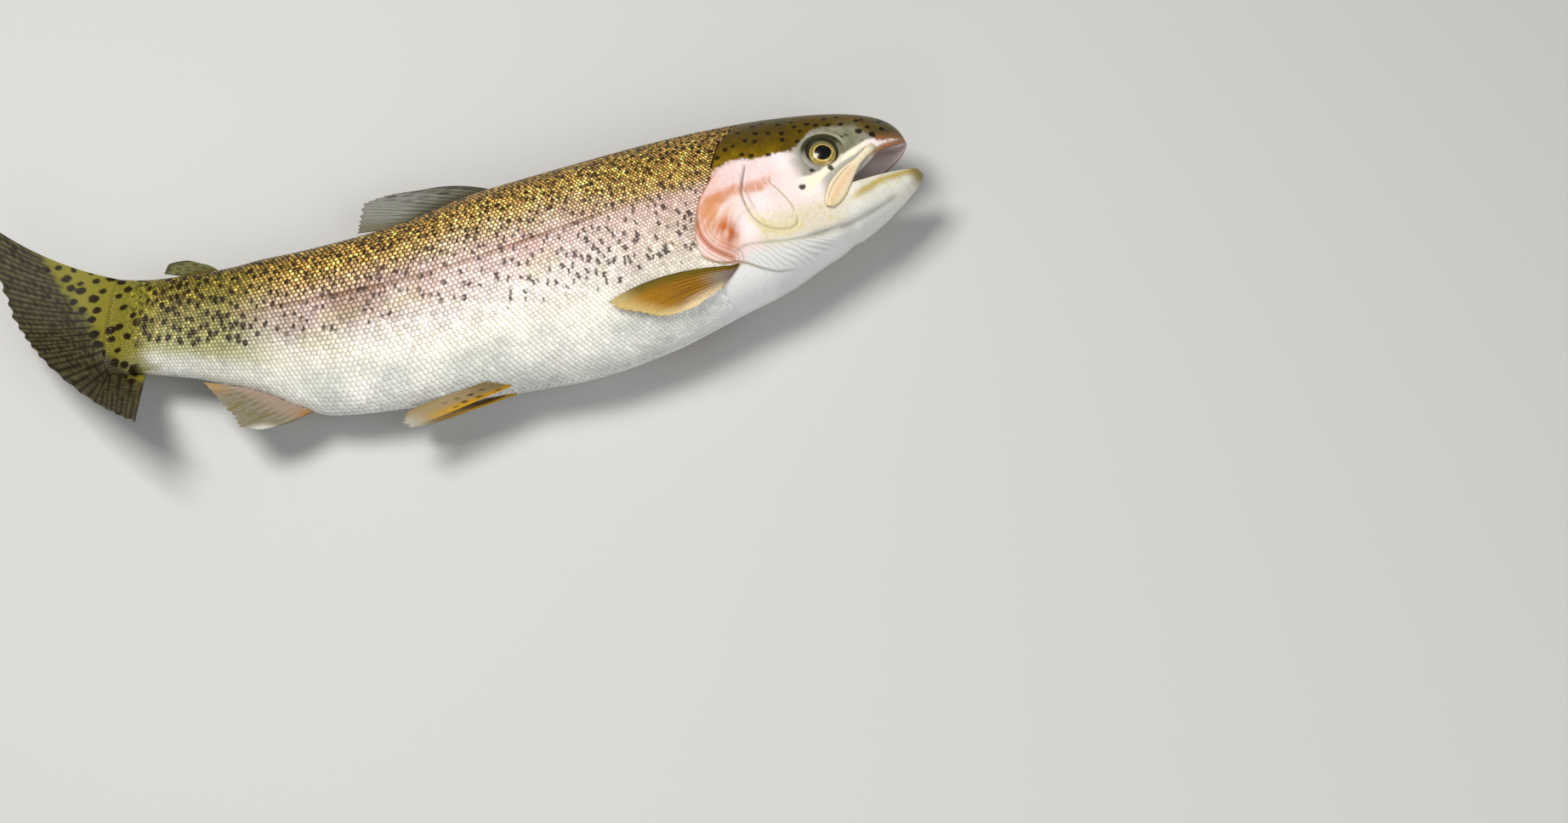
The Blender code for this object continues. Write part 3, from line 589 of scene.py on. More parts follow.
def ground(t, a, lift, y):
    """The body's colour without its marks; lift is 0 between the scales, with painted shade, and 1 at their
    middles, with a painted highlight.
    """
    shift = 0.014 * lattice_noise(t * 40, a * 9, 3) + 0.016 * lattice_noise(t * 130, a * 40, 4)
    at = a + shift - 0.09 * smooth(0.42, 0.29, t) * smooth(0.48, 0.41, a) * smooth(0.20, 0.36, a)
    at = at - 0.035 * smooth(0.62, 0.72, t) * smooth(0.66, 0.50, a)
    rear = smooth(0.74, 0.86, t)
    rim, dot = (ramp(at, front) * (1 - rear[..., None]) + ramp(at, behind) * rear[..., None]
                for front, behind in ((RIM_STOPS, TAIL_RIM_STOPS), (DOT_STOPS, TAIL_DOT_STOPS)))
    colour = rim + (dot - rim) * lift[..., None]
    # glow lays the same painted highlight and shade over the tan, pink, rust and moss tones
    glow = 0.50 + 0.72 * lift[..., None]
    # tan, pink and rust along the lateral line, and a thread of rust on the line itself
    off = at - line_angle(t)
    patchy = np.clip(0.75 + 0.6 * lattice_noise(t * 30, a * 12, 5), 0, 1.3)
    tan = bell(off - 0.13, 0.10) * smooth(0.44, 0.30, t) * 0.36
    pink = bell(off - 0.03, 0.06) * smooth(0.22, 0.27, t) * (1 - smooth(0.58, 0.70, t)) * 0.38
    rust = bell(off - 0.015, 0.075) * smooth(0.54, 0.66, t) * (1 - smooth(0.76, 0.86, t)) * 0.46
    thread = bell(y + 0.3, 0.85) * smooth(0.30, 0.40, t) * (1 - smooth(0.80, 0.90, t)) * 0.74
    for tone, amount in ((TAN, tan), (PINK, pink * patchy), (RUST, rust * patchy),
                         (RUST, thread * np.clip(patchy, 0.65, 1.1))):
        colour = mixed(colour, tone * glow, amount)
    # a duller belly and a white chest
    grey = smooth(0.68, 0.76, at) * smooth(0.30, 0.40, t) * (1 - smooth(0.74, 0.82, t))
    dull = grey * np.clip(0.5 + 0.9 * lattice_noise(t * 26, a * 10, 6), 0, 1)
    colour = painted(colour, ((168, 174, 168), 0.45 * dull))
    chest = smooth(0.35, 0.26, t) * smooth(0.70, 0.82, a)
    # the chest's white is painted a little lighter at the scale middles, as a highlight
    colour = mixed(colour, srgb(228, 230, 229) * (0.84 + 0.16 * lift[..., None]), 0.8 * chest)
    # cloudy shade, with a little moss below the line
    deeper = smooth(0.56, 0.74, t) * bell(at - 0.56, 0.14) * (1 - rear)
    clouds = 0.07 * lattice_noise(t * 46, a * 14, 15) + 0.05 * lattice_noise(t * 90, a * 30, 16)
    moss = smooth(0.25, 0.8, lattice_noise(t * 36, a * 15, 17)) * smooth(0.40, 0.50, a)
    moss = 0.24 * moss * smooth(0.72, 0.62, a)
    colour = colour * (1 - 0.28 * deeper + clouds)[..., None]
    colour = mixed(colour, srgb(206, 196, 128) * glow, moss * smooth(0.34, 0.5, t))
    # the tail's own colour from where its fleshy base begins
    end = smooth(0.930, 0.962, t + 0.010 * lattice_noise(t * 60, a * 20, 13))
    stalk, _ = tail_shade(t, half_section(t, a)[0])
    flat = smooth(0.960, 0.992, t)
    # the stalk's scales keep a painted highlight at their middles, fading out towards the bare end
    stalk = stalk * (0.84 + 0.14 * flat + (0.22 - 0.22 * flat) * lift)[..., None]
    return mixed(colour, stalk, end * (0.86 + 0.14 * flat))


FLESHY_TOP, FLESHY_BOTTOM = (1.086, 0.078), (0.966, -0.066)


def tail_shade(t, h):
    """The colour of the tail's fleshy base and of the fin beyond it, and mm past the border."""
    rise = (FLESHY_TOP[0] - FLESHY_BOTTOM[0]) / (FLESHY_TOP[1] - FLESHY_BOTTOM[1])
    past = (t - FLESHY_BOTTOM[0] - rise * (h - FLESHY_BOTTOM[1])) / MM
    past = past + 2.6 * noise_mm(t, h, 5, 77)
    fin = srgb(62, 58, 37) * (1 + 0.12 * lattice_noise(t * 70, h * 60, 78))[..., None]
    return painted(fin, ((122, 116, 38), smooth(3.5, -3.5, past) * smooth(-0.080, -0.066, h))), past


OVALS = []
for row in range(-7, 9):
    for column in range(9):
        jogs = np.random.default_rng(500 + 20 * row + column).uniform(-1, 1, 4)
        if jogs[3] > -0.55:
            OVALS.append((0.962 + (7.2 * column + 3.6 * (row % 2) + 1.9 * jogs[0]) * MM,
                          (5.0 * row + 1.5 * jogs[1]) * MM, 1.75 + 0.55 * jogs[2], jogs[3]))


def tail_ovals(t, h):
    """The big dark ovals that run from the tail's stalk out onto the fin, 0 to 1."""
    dark = np.zeros(t.shape)
    ragged = 0.16 * noise_mm(t, h, 1.1, 79)
    for at, high, radius, lean in OVALS:
        along, across = (t - at) / MM, (h - high) / MM
        along, across = along + 0.5 * lean * across, across - 0.5 * lean * along
        dark = np.maximum(dark, 1 - smooth(0.82, 1.12, np.hypot(along / 1.35, across) / radius + ragged))
    return dark * smooth(0.950, 0.968, t)


MARK_CELL = 3.1  # mm between the places where a mark may stand
MARK_ZONES = np.array([  # the share of places with a mark, and a mark's half length and radius in mm
    (0.88, 0.12, 0.84),  # on the back
    (0.50, 0.50, 0.72),  # between the back and the lateral line
    (0.44, 0.95, 0.52),  # below the line, towards the head
    (0.30, 0.50, 0.72),  # about the line, towards the tail
    (0.50, 0.55, 1.02),  # on the tail's stalk
])


class Marks:
    """The dark marks of one flank, laid out over the unrolled skin from a seed."""

    def __init__(self, seed):
        rng = np.random.default_rng(seed)
        rows = []
        for i, t in enumerate(np.arange(0.17, 1.01, MARK_CELL * MM)):
            for j, y in enumerate(np.arange(-52, 52, MARK_CELL)):
                jog_t, jog_y = rng.uniform(-0.36, 0.36, 2) * MARK_CELL
                chance, *rest = rng.uniform(size=4)
                chance = (0.7549 * i + 0.5698 * j + 0.5 * chance) % 1  # spreads the marks out evenly
                rows.append((t + jog_t * MM, y + jog_y, chance, *rest))
        self.all = np.array(rows)

    def settle(self, sheet):
        """Keeps the marks that the fish's pattern has, with sheet giving a from (t, y)."""
        t, y, chance, size, lean, kind = self.all.T
        a, inside = sheet.angle(t, y)
        above = 1 - smooth(-2.5, 0.5, y)
        rear = smooth(0.76, 0.86, t)
        back = (1 - smooth(0.29, 0.36, a)) * (1 - rear)
        shoulder = above * (1 - back) * (1 - rear)
        below = (1 - above) * (1 - smooth(0.60, 0.68, a)) * smooth(0.60, 0.38, t)
        middle = (1 - back) * (1 - smooth(0.54, 0.62, a)) * smooth(0.44, 0.58, t) * (1 - rear)
        stalk = rear * (1 - smooth(0.62, 0.70, a))
        zones = np.stack([back, shoulder, below, middle, stalk])
        wanted = np.max(MARK_ZONES[:, :1] * zones, axis=0)
        half_length, radius = (np.sum(MARK_ZONES[:, k, None] * zones, axis=0) for k in (1, 2))
        keep = inside & (chance < wanted) & (t > scale_front(half_section(t, a)[0]) + 0.004)
        share = np.maximum(zones.sum(axis=0), 0.5)
        order = np.argsort(t[keep])
        scale = 0.75 + 0.5 * size
        columns = (t, y, half_length * scale / share, radius * scale / share, 0.9 * (lean - 0.5))
        self.t, self.y, self.half, self.radius, self.lean = [v[keep][order] for v in columns]
        self.crossed = ((kind > 0.55) & (below > 0.3) & (y > 5))[keep][order]

    def darkness(self, t, y):
        """0 to 1 at points of the unrolled skin."""
        dark = np.zeros(len(t))
        order = np.argsort(t)
        sorted_t = t[order]
        ragged = 0.30 * lattice_noise(t / MM / 0.8, y / 0.8, 9)
        for k in range(len(self.t)):
            reach = (self.half[k] + 1.6 * self.radius[k]) * MM
            first, last = np.searchsorted(sorted_t, (self.t[k] - reach, self.t[k] + reach))
            some = order[first:last]
            dx, dy = (t[some] - self.t[k]) / MM, y[some] - self.y[k]
            leans = (self.lean[k] + 0.5, self.lean[k] - 0.5) if self.crossed[k] else (self.lean[k],)
            gap = np.full(len(some), 9.0)
            for lean in leans:
                along = dy * math.cos(lean) + dx * math.sin(lean)
                across = dx * math.cos(lean) - dy * math.sin(lean)
                past = np.maximum(np.abs(along) - self.half[k], 0)
                gap = np.minimum(gap, np.hypot(across, past))
            value = 1 - smooth(0.62, 1.30, gap / self.radius[k] + ragged[some])
            dark[some] = np.maximum(dark[some], value)
        return dark


class Sheet:
    """The flank unrolled: y is the distance in mm around the body from the lateral line, down the belly."""

    def __init__(self):
        self.t = np.linspace(0.16, 1.02, 431)
        self.a = np.linspace(0, 1, 241)
        points = body_point(self.t[:, None], self.a[None, :], 1)
        step = np.linalg.norm(np.diff(points, axis=1), axis=2) * 1000
        run = np.concatenate([np.zeros((len(self.t), 1)), np.cumsum(step, axis=1)], axis=1)
        middle = line_angle(self.t)
        at_line = np.array([np.interp(middle[k], self.a, run[k]) for k in range(len(self.t))])
        self.run = run - at_line[:, None]

    def _mixed_rows(self, t):
        where = np.clip((np.asarray(t) - self.t[0]) / (self.t[1] - self.t[0]), 0, len(self.t) - 1.001)
        row = where.astype(int)
        return row, where - row

    def y(self, t, a):
        row, part = self._mixed_rows(t)
        column = np.clip(a, 0, 1) / (self.a[1] - self.a[0])
        j = np.minimum(column.astype(int), len(self.a) - 2)
        u = column - j
        near = self.run[row, j] * (1 - u) + self.run[row, j + 1] * u
        far = self.run[row + 1, j] * (1 - u) + self.run[row + 1, j + 1] * u
        return near * (1 - part) + far * part

    def angle(self, t, y):
        """(a, whether that y lies on this flank)."""
        row, part = self._mixed_rows(t)
        a = np.zeros(len(t))
        inside = np.zeros(len(t), bool)
        for k in np.unique(row):
            here = row == k
            run = self.run[k] + (self.run[k + 1] - self.run[k]) * part[here].mean()
            a[here] = np.interp(y[here], run, self.a)
            inside[here] = (y[here] > run[0]) & (y[here] < run[-1])
        return a, inside


SHEET = Sheet()
MARKS = {}
for side, seed in ((1, 11), (-1, 12)):
    MARKS[side] = Marks(seed)
    MARKS[side].settle(SHEET)
print("marks", len(MARKS[1].t))


def body_tint(t, a, side, lift, y):
    dark = MARKS[side].darkness(t, y)
    flank = smooth(0.32, 0.46, a) * (1 - 0.85 * smooth(0.68, 0.78, t))
    ink = painted(srgb(*INK), (SLATE, flank))
    # kept leaves a painted glint at the middles of the scales inside a mark
    kept = lift * (0.03 + 0.13 * flank)
    colour = mixed(ground(t, a, lift, y), ink, dark * (0.97 - kept) * smooth(0.975, 0.955, t))
    rear = t > 0.945
    colour[rear] = painted(colour[rear], (INK, 0.96 * tail_ovals(t[rear], half_section(t, a)[0][rear])))
    return colour


def near_line(t, h, knots, width, inset=0.0):
    """1 on a curve, or on its parallel at inset mm, fading over width mm, and the share along it."""
    gap, _, share = to_curve(t, h, knots)
    return bell(gap - inset, width), share


COVER_STREAKS = tuple((COVER_RIM, 0.45, inset, (192, 98, 36), strength, ((0.55, 0.75),))
                      for inset, strength in ((0.9, 0.75), (2.3, 0.55), (3.9, 0.4)))
HEAD_LINES = (  # knots, width and inset in mm, colour, strength, and the shares over which it fades
    (PREOPERCLE, 0.90, 1.5, (218, 206, 140), 0.60, ((0.35, 0.60), (1.0, 0.90))),
    (PREOPERCLE_CREST, 0.34, 0, (160, 146, 100), 0.80, ((0.0, 0.10), (1.0, 0.85))),
    (LOWER_COVER_LINE, 0.60, 0, (136, 128, 100), 0.50, ((0.0, 0.10), (1.0, 0.85))),
    # JAW_GROOVE's grey is painted shade in the groove below the jaw's ridge
    (JAW_GROOVE, 1.10, 0, (158, 157, 146), 0.55, ((0.0, 0.10), (1.0, 0.85))),
    (COVER_RIM, 0.55, 0, (168, 88, 34), 0.95, ((0.22, 0.45),)),
    (MEMBRANE_RIM, 0.45, 0, (150, 108, 50), 0.85, ((0.65, 0.40),)),
    (MEMBRANE_RIM, 0.45, 0, (140, 136, 122), 0.50, ((0.40, 0.55), (0.75, 0.60))),
)


def lined(colour, t, h, lines):
    """The colour with lines such as HEAD_LINES drawn on it."""
    for knots, width, inset, tone, strength, fades in lines:
        line, share = near_line(t, h, knots, width, inset)
        amount = strength * line
        for fade in fades:
            amount = amount * smooth(*fade, share)
        colour = painted(colour, (tone, amount))
    return colour


def cheek_tint(t, h, fleck, blotch, cloud):
    """The pearly cheek, creamy below and grey-white under the throat, with the orange gill cover."""
    cover = smooth(0.200, 0.215, t)
    front_pink = smooth(0.150, 0.170, t) * (1 - cover) * smooth(-0.050, -0.020, h)
    speck = smooth(0.1, 0.8, fleck) * (1 - cover) * smooth(-0.045, -0.060, h) * smooth(-0.094, -0.084, h)
    # the orange lies in fine streaks, fanning out from the cover's upper front corner
    streak = lattice_noise(np.arctan2(h - 0.02, t - 0.190) * 34 + 90, mm_from((0.190, 0.02), t, h) / 7, 81)
    gap, _, share = to_curve(t, h, BAND)
    band = 0.85 * smooth(4.2, 1.0, gap + 0.8 * cloud) * np.clip(0.90 + 0.3 * blotch + 0.2 * streak, 0, 1)
    lower = bell((t - 0.252) / MM, 8.5) * bell((h + 0.042) / MM, 13.0)
    patch, _ = near_line(t, h, RED_PATCH, 3.6)
    return painted(
        srgb(236, 214, 206),
        ((244, 232, 232), 0.5 + 0.5 * blotch),
        ((234, 204, 206), cover * smooth(-0.045, 0.0, h) * 0.85),
        ((238, 206, 206), 0.7 * front_pink * (0.7 + 0.4 * cloud)),
        ((222, 186, 160), cover * smooth(-0.015, 0.010, h) * (0.30 + 0.4 * cloud)),
        ((216, 208, 184), smooth(-0.050, -0.070, h) * (1 - cover) * 0.85),
        ((222, 223, 221), smooth(-0.084, -0.106, h)),
        ((204, 206, 205), smooth(-0.112, -0.140, h) * (1 - cover) * 0.8),
        ((206, 184, 104), 0.42 * speck),
        ((198, 122, 70), band * smooth(-0.05, 0.15, share)),
        ((206, 138, 86), 0.9 * lower * np.clip(0.8 + 0.5 * streak, 0, 1)),
        ((186, 96, 34), patch * np.clip(0.85 + 0.35 * streak + 0.3 * cloud, 0, 1)))


def below_eye(colour, t, h, low_jaw, cloud):
    """Grey about the eye, and the pale strip below it."""
    over_top, over_bottom = ((h - height_on(knots, t)) / MM for knots in (STRIP_TOP, STRIP_BOTTOM))
    grey = smooth(0.150, 0.128, t + 0.003 * cloud) * smooth(-0.3, 1.0, over_top)
    shade = painted(srgb(118, 118, 92), ((140, 138, 124), smooth(0.085, 0.120, t)))
    strip = smooth(0.045, 0.052, t) * (1 - smooth(0.128, 0.150, t))
    strip = strip * smooth(0.5, -0.2, over_top) * smooth(-0.4, 0.3, over_bottom)
    under = smooth(0.4, -0.4, over_bottom) * (1 - smooth(0.108, 0.126, t)) * smooth(0.046, 0.056, t)
    return painted(
        mixed(colour, shade, grey * (0.92 + 0.08 * cloud)),
        ((246, 236, 212), strip),
        ((164, 164, 150), 0.85 * under * smooth(-0.075, -0.05, h) * ~low_jaw))


def crown_tint(t, above, fleck, blotch, cloud):
    """The olive crown, golden along its lower edge and pinkish brown on the snout."""
    crown = painted(
        srgb(88, 68, 8),
        ((76, 65, 24), smooth(5, 20, above)),
        ((130, 102, 6), bell(above - 2.0, 3.5) * smooth(0.135, 0.17, t) * (0.85 + 0.3 * cloud)),
        ((100, 92, 58), smooth(0.085, 0.060, t) * smooth(7.0, 2.0, above) * 0.85),
        ((84, 74, 44), smooth(0.050, 0.020, t) * 0.9),
        ((132, 92, 58), smooth(0.052, 0.030, t) * smooth(5.0, 1.5, above)))
    return crown * (1 + 0.12 * fleck + 0.14 * cloud + 0.10 * blotch)[..., None]


def lip_and_brow(colour, t, h, low_jaw):
    """The upper lip, and a dark crescent over the eye, painted as the shade under the orbit's upper rim."""
    lip_gap = (h - LIP(t)[..., 0]) / MM
    from_eye, upward = around_eye(t, h)
    return painted(
        colour,
        ((158, 124, 90), smooth(2.6, 0.8, lip_gap) * smooth(0.056, 0.042, t) * ~low_jaw),
        ((160, 104, 74), 0.8 * bell(lip_gap - 0.5, 0.6) * smooth(0.045, 0.030, t) * ~low_jaw),
        # painted shade: the dark crescent where the orbit's upper rim shades the socket
        ((44, 41, 20), smooth(9.6, 8.6, from_eye) * upward * 0.95),
        ((162, 160, 136), 0.65 * bell(from_eye - 9.6, 0.45) * upward),
        ((120, 116, 96), smooth(8.4, 7.4, from_eye) * (1 - upward) * 0.7))


def jaw_tint(colour, t, h, low_jaw, fleck, blotch):
    """The white lower jaw with its yellow-olive line, and painted shade in the groove along the jaw."""
    jaw = painted(
        srgb(236, 234, 224),
        ((216, 214, 200), 0.5 + 0.5 * blotch),
        ((206, 192, 118), 0.40 * smooth(0.1, 0.8, fleck) * smooth(-0.085, -0.06, h)),
        ((214, 215, 211), smooth(-0.072, -0.092, h)))
    groove, groove_share = near_line(t, h, JAW_GROOVE, 0.60)
    line, line_share = near_line(t, h, JAW_LINE, 1.5)
    tip = smooth(0.022, 0.004, t) * smooth(-0.070, -0.056, h)
    return painted(
        mixed(colour, jaw, smooth(0.125, 0.085, t) * low_jaw),
        # painted shade in the jaw's groove
        ((150, 148, 134), 0.6 * groove * smooth(0.0, 0.15, groove_share) * low_jaw),
        ((176, 152, 44), 0.85 * line * smooth(1.0, 0.75, line_share) * low_jaw),
        ((132, 116, 58), 0.9 * tip * low_jaw))


def head_tint(t, h, low_jaw):
    """The naked head's colours; low_jaw marks points of the lower jaw."""
    fleck, blotch, cloud = (noise_mm(t, h, size, seed) for size, seed in ((0.9, 7), (6, 8), (2.5, 10)))
    above = (h - height_on(OLIVE_EDGE, t)) / MM
    colour = lined(cheek_tint(t, h, fleck, blotch, cloud), t, h, COVER_STREAKS)
    colour = below_eye(colour, t, h, low_jaw, cloud)
    crown = crown_tint(t, above, fleck, blotch, cloud)
    colour = mixed(colour, crown, smooth(-0.8, 1.0, above + 0.8 * fleck) * ~low_jaw)
    colour = lip_and_brow(colour, t, h, low_jaw)
    line, share = near_line(t, h, PREOPERCLE, 0.38)
    tone = painted(srgb(92, 84, 62), ((170, 156, 100), smooth(0.25, 0.5, share)))
    colour = mixed(colour, tone, 0.85 * line * ends(share, 0.05, 0.93))
    colour = lined(colour, t, h, HEAD_LINES)
    # painted shade in the troughs between the throat membrane's folds
    colour = painted(colour, ((140, 134, 118), 0.35 * np.clip(-membrane_ridges(t, h), 0, 1)))
    colour = jaw_tint(colour, t, h, low_jaw, fleck, blotch)
    for spots, radius in ((HEAD_SPOTS, 1.08), (BIG_HEAD_SPOTS, 1.4)):
        for spot_t, spot_h in spots:
            gap = np.hypot((t - spot_t) / 1.15, h - spot_h) / MM + 0.30 * fleck
            colour = painted(colour, ((26, 18, 10), 0.93 * (1 - smooth(0.70, 1.15, gap / radius)) * ~low_jaw))
    return painted(colour, *(((40, 36, 30), 1 - smooth(0.4, 0.8, mm_from(spot, t, h))) for spot in NOSTRILS))


# ------------------------------------------------------------------ the skin
CORNER_A = float(flank_angle(np.array([T_JAW_HINGE]), np.array([-0.0495]))[0])
T_POCKET = 0.140
RAY_FOLDS = 15
UPPER_POINTS, LOWER_POINTS, MOUTH_POINTS = 130, 60, 24
SKIN_INSET = 0.0003


def outer_upper(t, q):
    """(h, w) of the right side from the back (q 0) to the upper lip or the line behind it (q 1)."""
    a = q * CORNER_A
    h, w = half_section(t, a)
    full, widest = body_at(t)[2:4]
    lip = LIP(t)[..., 0]
    b = np.clip((a - 0.5) / (CORNER_A - 0.5), 0, 1)
    curl = np.clip((b - 0.82) / 0.18, 0, 1)
    open_h = widest + (lip - widest) * np.sin(b * np.pi / 2) ** 1.1
    open_w = full * (1 - 0.09 * b**2) - np.minimum(0.0030, 0.3 * full) * curl**2.5
    upper = a <= 0.5
    open_h, open_w = np.where(upper, np.maximum(h, lip), open_h), np.where(upper, w, open_w)
    closing = smooth(0.076, T_JAW_HINGE, t)
    whole = (t >= T_JAW_HINGE) | upper
    return (np.where(whole, h, open_h + (h - open_h) * closing),
            np.where(whole, w, open_w + (w - open_w) * closing))


def outer_lower(t, x):
    """(t, h, w) from the keel or belly (x 0) to the lower lip or the line behind it (x 1)."""
    first = LOWER_JAW_STATIONS[0][0]
    jaw_t = np.where(t < T_JAW_HINGE, first + (T_JAW_HINGE - first) * t / T_JAW_HINGE, t)
    stations = LOWER_JAW(jaw_t)
    lip, keel, half_width = stations[..., 0], stations[..., 1], stations[..., 2]
    edge_h, edge_w = half_section(np.maximum(t, T_JAW_HINGE), np.full_like(t, CORNER_A))
    to_corner = smooth(0.060, T_JAW_HINGE, t)
    lip = lip + (edge_h - lip) * to_corner
    half_width = half_width + (edge_w - half_width) * to_corner
    belly = body_at(t)[1]
    behind = smooth(T_JAW_HINGE, 0.135, t)
    keel = keel + (-belly - keel) * behind
    turn = x * np.pi / 2
    h = lip + (keel - lip) * np.cos(turn) ** 0.9
    w = half_width * np.sin(turn) ** 0.8
    body_h, body_w = half_section(t, 1 - x * (1 - CORNER_A))
    return jaw_t, h + (body_h - h) * behind, w + (body_w - w) * behind


def mouth_lining(t, r, roof):
    """(t, h, w) inside the mouth from the lip or the pocket's side (r 0) to the middle (r 1)."""
    deep = np.clip((t - T_JAW_HINGE) / (T_POCKET - T_JAW_HINGE), 0, 1)
    corner_h, corner_w = half_section(np.array([T_JAW_HINGE]), np.array([CORNER_A]))
    side_h = corner_h[0] + (-0.056 - corner_h[0]) * deep
    side_w = corner_w[0] * np.sqrt(np.clip(1 - deep, 0, 1)) * (1 - 0.35 * deep)
    open_part = t < T_JAW_HINGE
    arch = 1 - (1 - r) ** 2.4
    if roof:
        lip_h, lip_w = outer_upper(t, np.ones_like(t))
        rise = 0.026 * smooth(0.0, 0.075, t) * np.sqrt(np.clip(1 - deep, 0, 1))
        h = np.where(open_part, lip_h, side_h) + rise * arch
        w = np.where(open_part, lip_w, side_w) * (1 - r)
        return t, h, w
    jaw_t, lip_h, lip_w = outer_lower(t, np.ones_like(t))
    keel = LOWER_JAW(jaw_t)[..., 1]
    depth = np.minimum(0.020, 0.60 * (lip_h - keel)) * np.sqrt(np.clip(1 - deep, 0, 1))
    h = np.where(open_part, lip_h, side_h) - depth * smooth(0.05, 0.75, r)
    return jaw_t, h, np.where(open_part, lip_w, side_w) * (1 - r)


def membrane_ridges(t, h):
    """-1 to 1 across the folded rays of the throat's membrane, and 0 elsewhere."""
    gap, sign, share = to_curve(t, h, LOWER_COVER_LINE)
    outer_gap, outer_sign, _ = to_curve(t, h, MEMBRANE_RIM)
    q = gap / (gap + outer_gap + 1e-6)
    between = (sign > 0) & (outer_sign <= 0) & (t < 0.246) & (t > 0.105)
    folds = RAY_FOLDS * share - 4.0 * q + 0.25 * noise_mm(t, h, 5, 82)
    ridges = np.cos(folds * 2 * np.pi) + 0.3 * np.cos(folds * 4 * np.pi + 1.0)
    ridges = ridges * smooth(0.02, 0.14, q) * smooth(1.0, 0.80, q)
    return np.where(between, ridges * smooth(0.105, 0.150, t) * smooth(0.246, 0.236, t), 0)


GROOVES = (  # knots, depth and width in mm, and the shares at which its two ends fade
    (LOWER_COVER_LINE, 0.40, 0.45, 0.08, 0.85),
    (PREOPERCLE_CREST, 0.28, 0.42, 0.12, 0.90),
    (STRIP_TOP, 0.22, 0.50, 0.10, 0.80),
    (STRIP_BOTTOM, 0.22, 0.50, 0.10, 0.80),
)


def relief(t, h, low_jaw):
    """How far the head's features stand out of its plain form, in mm."""
    out = np.zeros(t.shape)
    near = t < 0.30
    t, h, inside_jaw = t[near], h[near], low_jaw[near]
    gap, sign, share = to_curve(t, h, COVER_RIM)
    ahead = np.where(sign > 0, -gap, gap)
    swell = smooth(-0.15, 0.75, ahead) * (0.85 + 0.35 * bell(ahead - 9, 7)) * (1 - smooth(16, 30, ahead))
    lift = swell * ends(share, 0.22, 0.93)
    gap, sign, share = to_curve(t, h, MEMBRANE_RIM)
    within = np.where(sign > 0, -gap, gap)
    fade = smooth(0.0, 0.10, share) * smooth(0.80, 0.55, share)
    lift += 0.55 * smooth(-0.2, 0.5, within) * (1 - smooth(4, 9, within)) * fade
    lift += 0.15 * membrane_ridges(t, h)
    for knots, depth, width, start, end in GROOVES:
        gap, _, share = to_curve(t, h, knots)
        lift -= depth * bell(gap, width) * ends(share, start, end)
    gap, _, share = to_curve(t, h, PREOPERCLE)
    lift += (-0.50 * bell(gap, 0.42) + 0.18 * bell(gap - 1.3, 0.8)) * ends(share, 0.08, 0.93)
    from_eye, upward = around_eye(t, h)
    lift += (0.30 * bell(from_eye - 9.8, 0.8) - 0.12 * bell(from_eye - 8.4, 0.8)) * upward
    for spot in NOSTRILS:
        gap = mm_from(spot, t, h)
        lift += 0.22 * bell(gap - 1.0, 0.45) - 1.1 * (1 - smooth(0.35, 0.85, gap))
    lift[inside_jaw] = 0
    gap, sign, share = to_curve(t, h, JAW_GROOVE)
    lift += (-0.50 * bell(gap, 1.1) + 0.45 * bell(gap - 2.4, 1.2) * (sign < 0)) * ends(share, 0.2, 0.8)
    gap, sign, share = to_curve(t, h, JAW_LINE)
    lips = 0.30 * bell(gap + 1.0 * sign, 1.1) - 0.25 * bell(gap - 1.6, 0.8) * (sign < 0)
    out[near] = lift + lips * smooth(1.0, 0.75, share) * inside_jaw
    return out


def skin_rows():
    mouth = T_JAW_HINGE * np.linspace(0, 1, 110) ** 1.3
    head = np.arange(T_JAW_HINGE, 0.288, 0.00095)[1:]
    body = np.linspace(0.288, 1.0, 90)
    tip = 1.0 + 0.014 * np.sin(np.linspace(0, 1, 5)[1:] * np.pi / 2)
    return np.concatenate([mouth, head, body, tip])


def build_skin():
    """The skin's points with their t, h and a, whether each is on the jaw or in the mouth, and its faces."""
    t = skin_rows()
    short = np.append(t[:int(np.searchsorted(t, T_POCKET))], T_POCKET)
    points, faces, ts, hs, angles, lows, inner = [], [], [], [], [], [], []
    first = 0
    for side in (1, -1):
        tt, qq = np.meshgrid(t, np.linspace(0, 1, UPPER_POINTS), indexing="ij")
        grids = [(tt, *outer_upper(tt, qq), qq * CORNER_A, False, False)]
        tt, xx = np.meshgrid(t, np.linspace(0, 1, LOWER_POINTS), indexing="ij")
        grids.append((*outer_lower(tt, xx), 1 - xx * (1 - CORNER_A), True, False))
        tt, rr = np.meshgrid(short, np.linspace(0, 1, MOUTH_POINTS), indexing="ij")
        for roof in (True, False):
            grids.append((*mouth_lining(tt, rr, roof), rr, not roof, True))
        for gt, gh, gw, ga, low_part, lining in grids:
            points.append(place(gt, gh, gw * side).reshape(-1, 3))
            faces.append(grid_faces(gt.shape[0], gt.shape[1], first, (side < 0) ^ low_part ^ lining))
            first += gt.size
            for store, value in ((ts, gt), (hs, gh), (angles, ga)):
                store.append(np.ravel(value))
            for store, value in ((lows, low_part), (inner, lining)):
                store.append(np.full(gt.size, value))
    return [np.concatenate(v) for v in (points, ts, hs, angles, lows, inner, faces)]


def weld(points, faces):
    """Joins points that share a place; returns the index of each kept point and the new faces."""
    keys = np.round(points / 2e-6).astype(np.int64)
    _, kept, group = np.unique(keys, axis=0, return_index=True, return_inverse=True)
    faces = group.reshape(-1)[faces]
    four = np.array([len(set(face)) == 4 for face in faces.tolist()])
    quads = faces[four]
    tris = []
    for face in faces[~four].tolist():
        ring = [v for k, v in enumerate(face) if v != face[k - 1]]
        if len(set(ring)) == 3 and len(ring) == 3:
            tris.append(ring)
    return kept, quads, np.array(tris, int).reshape(-1, 3)


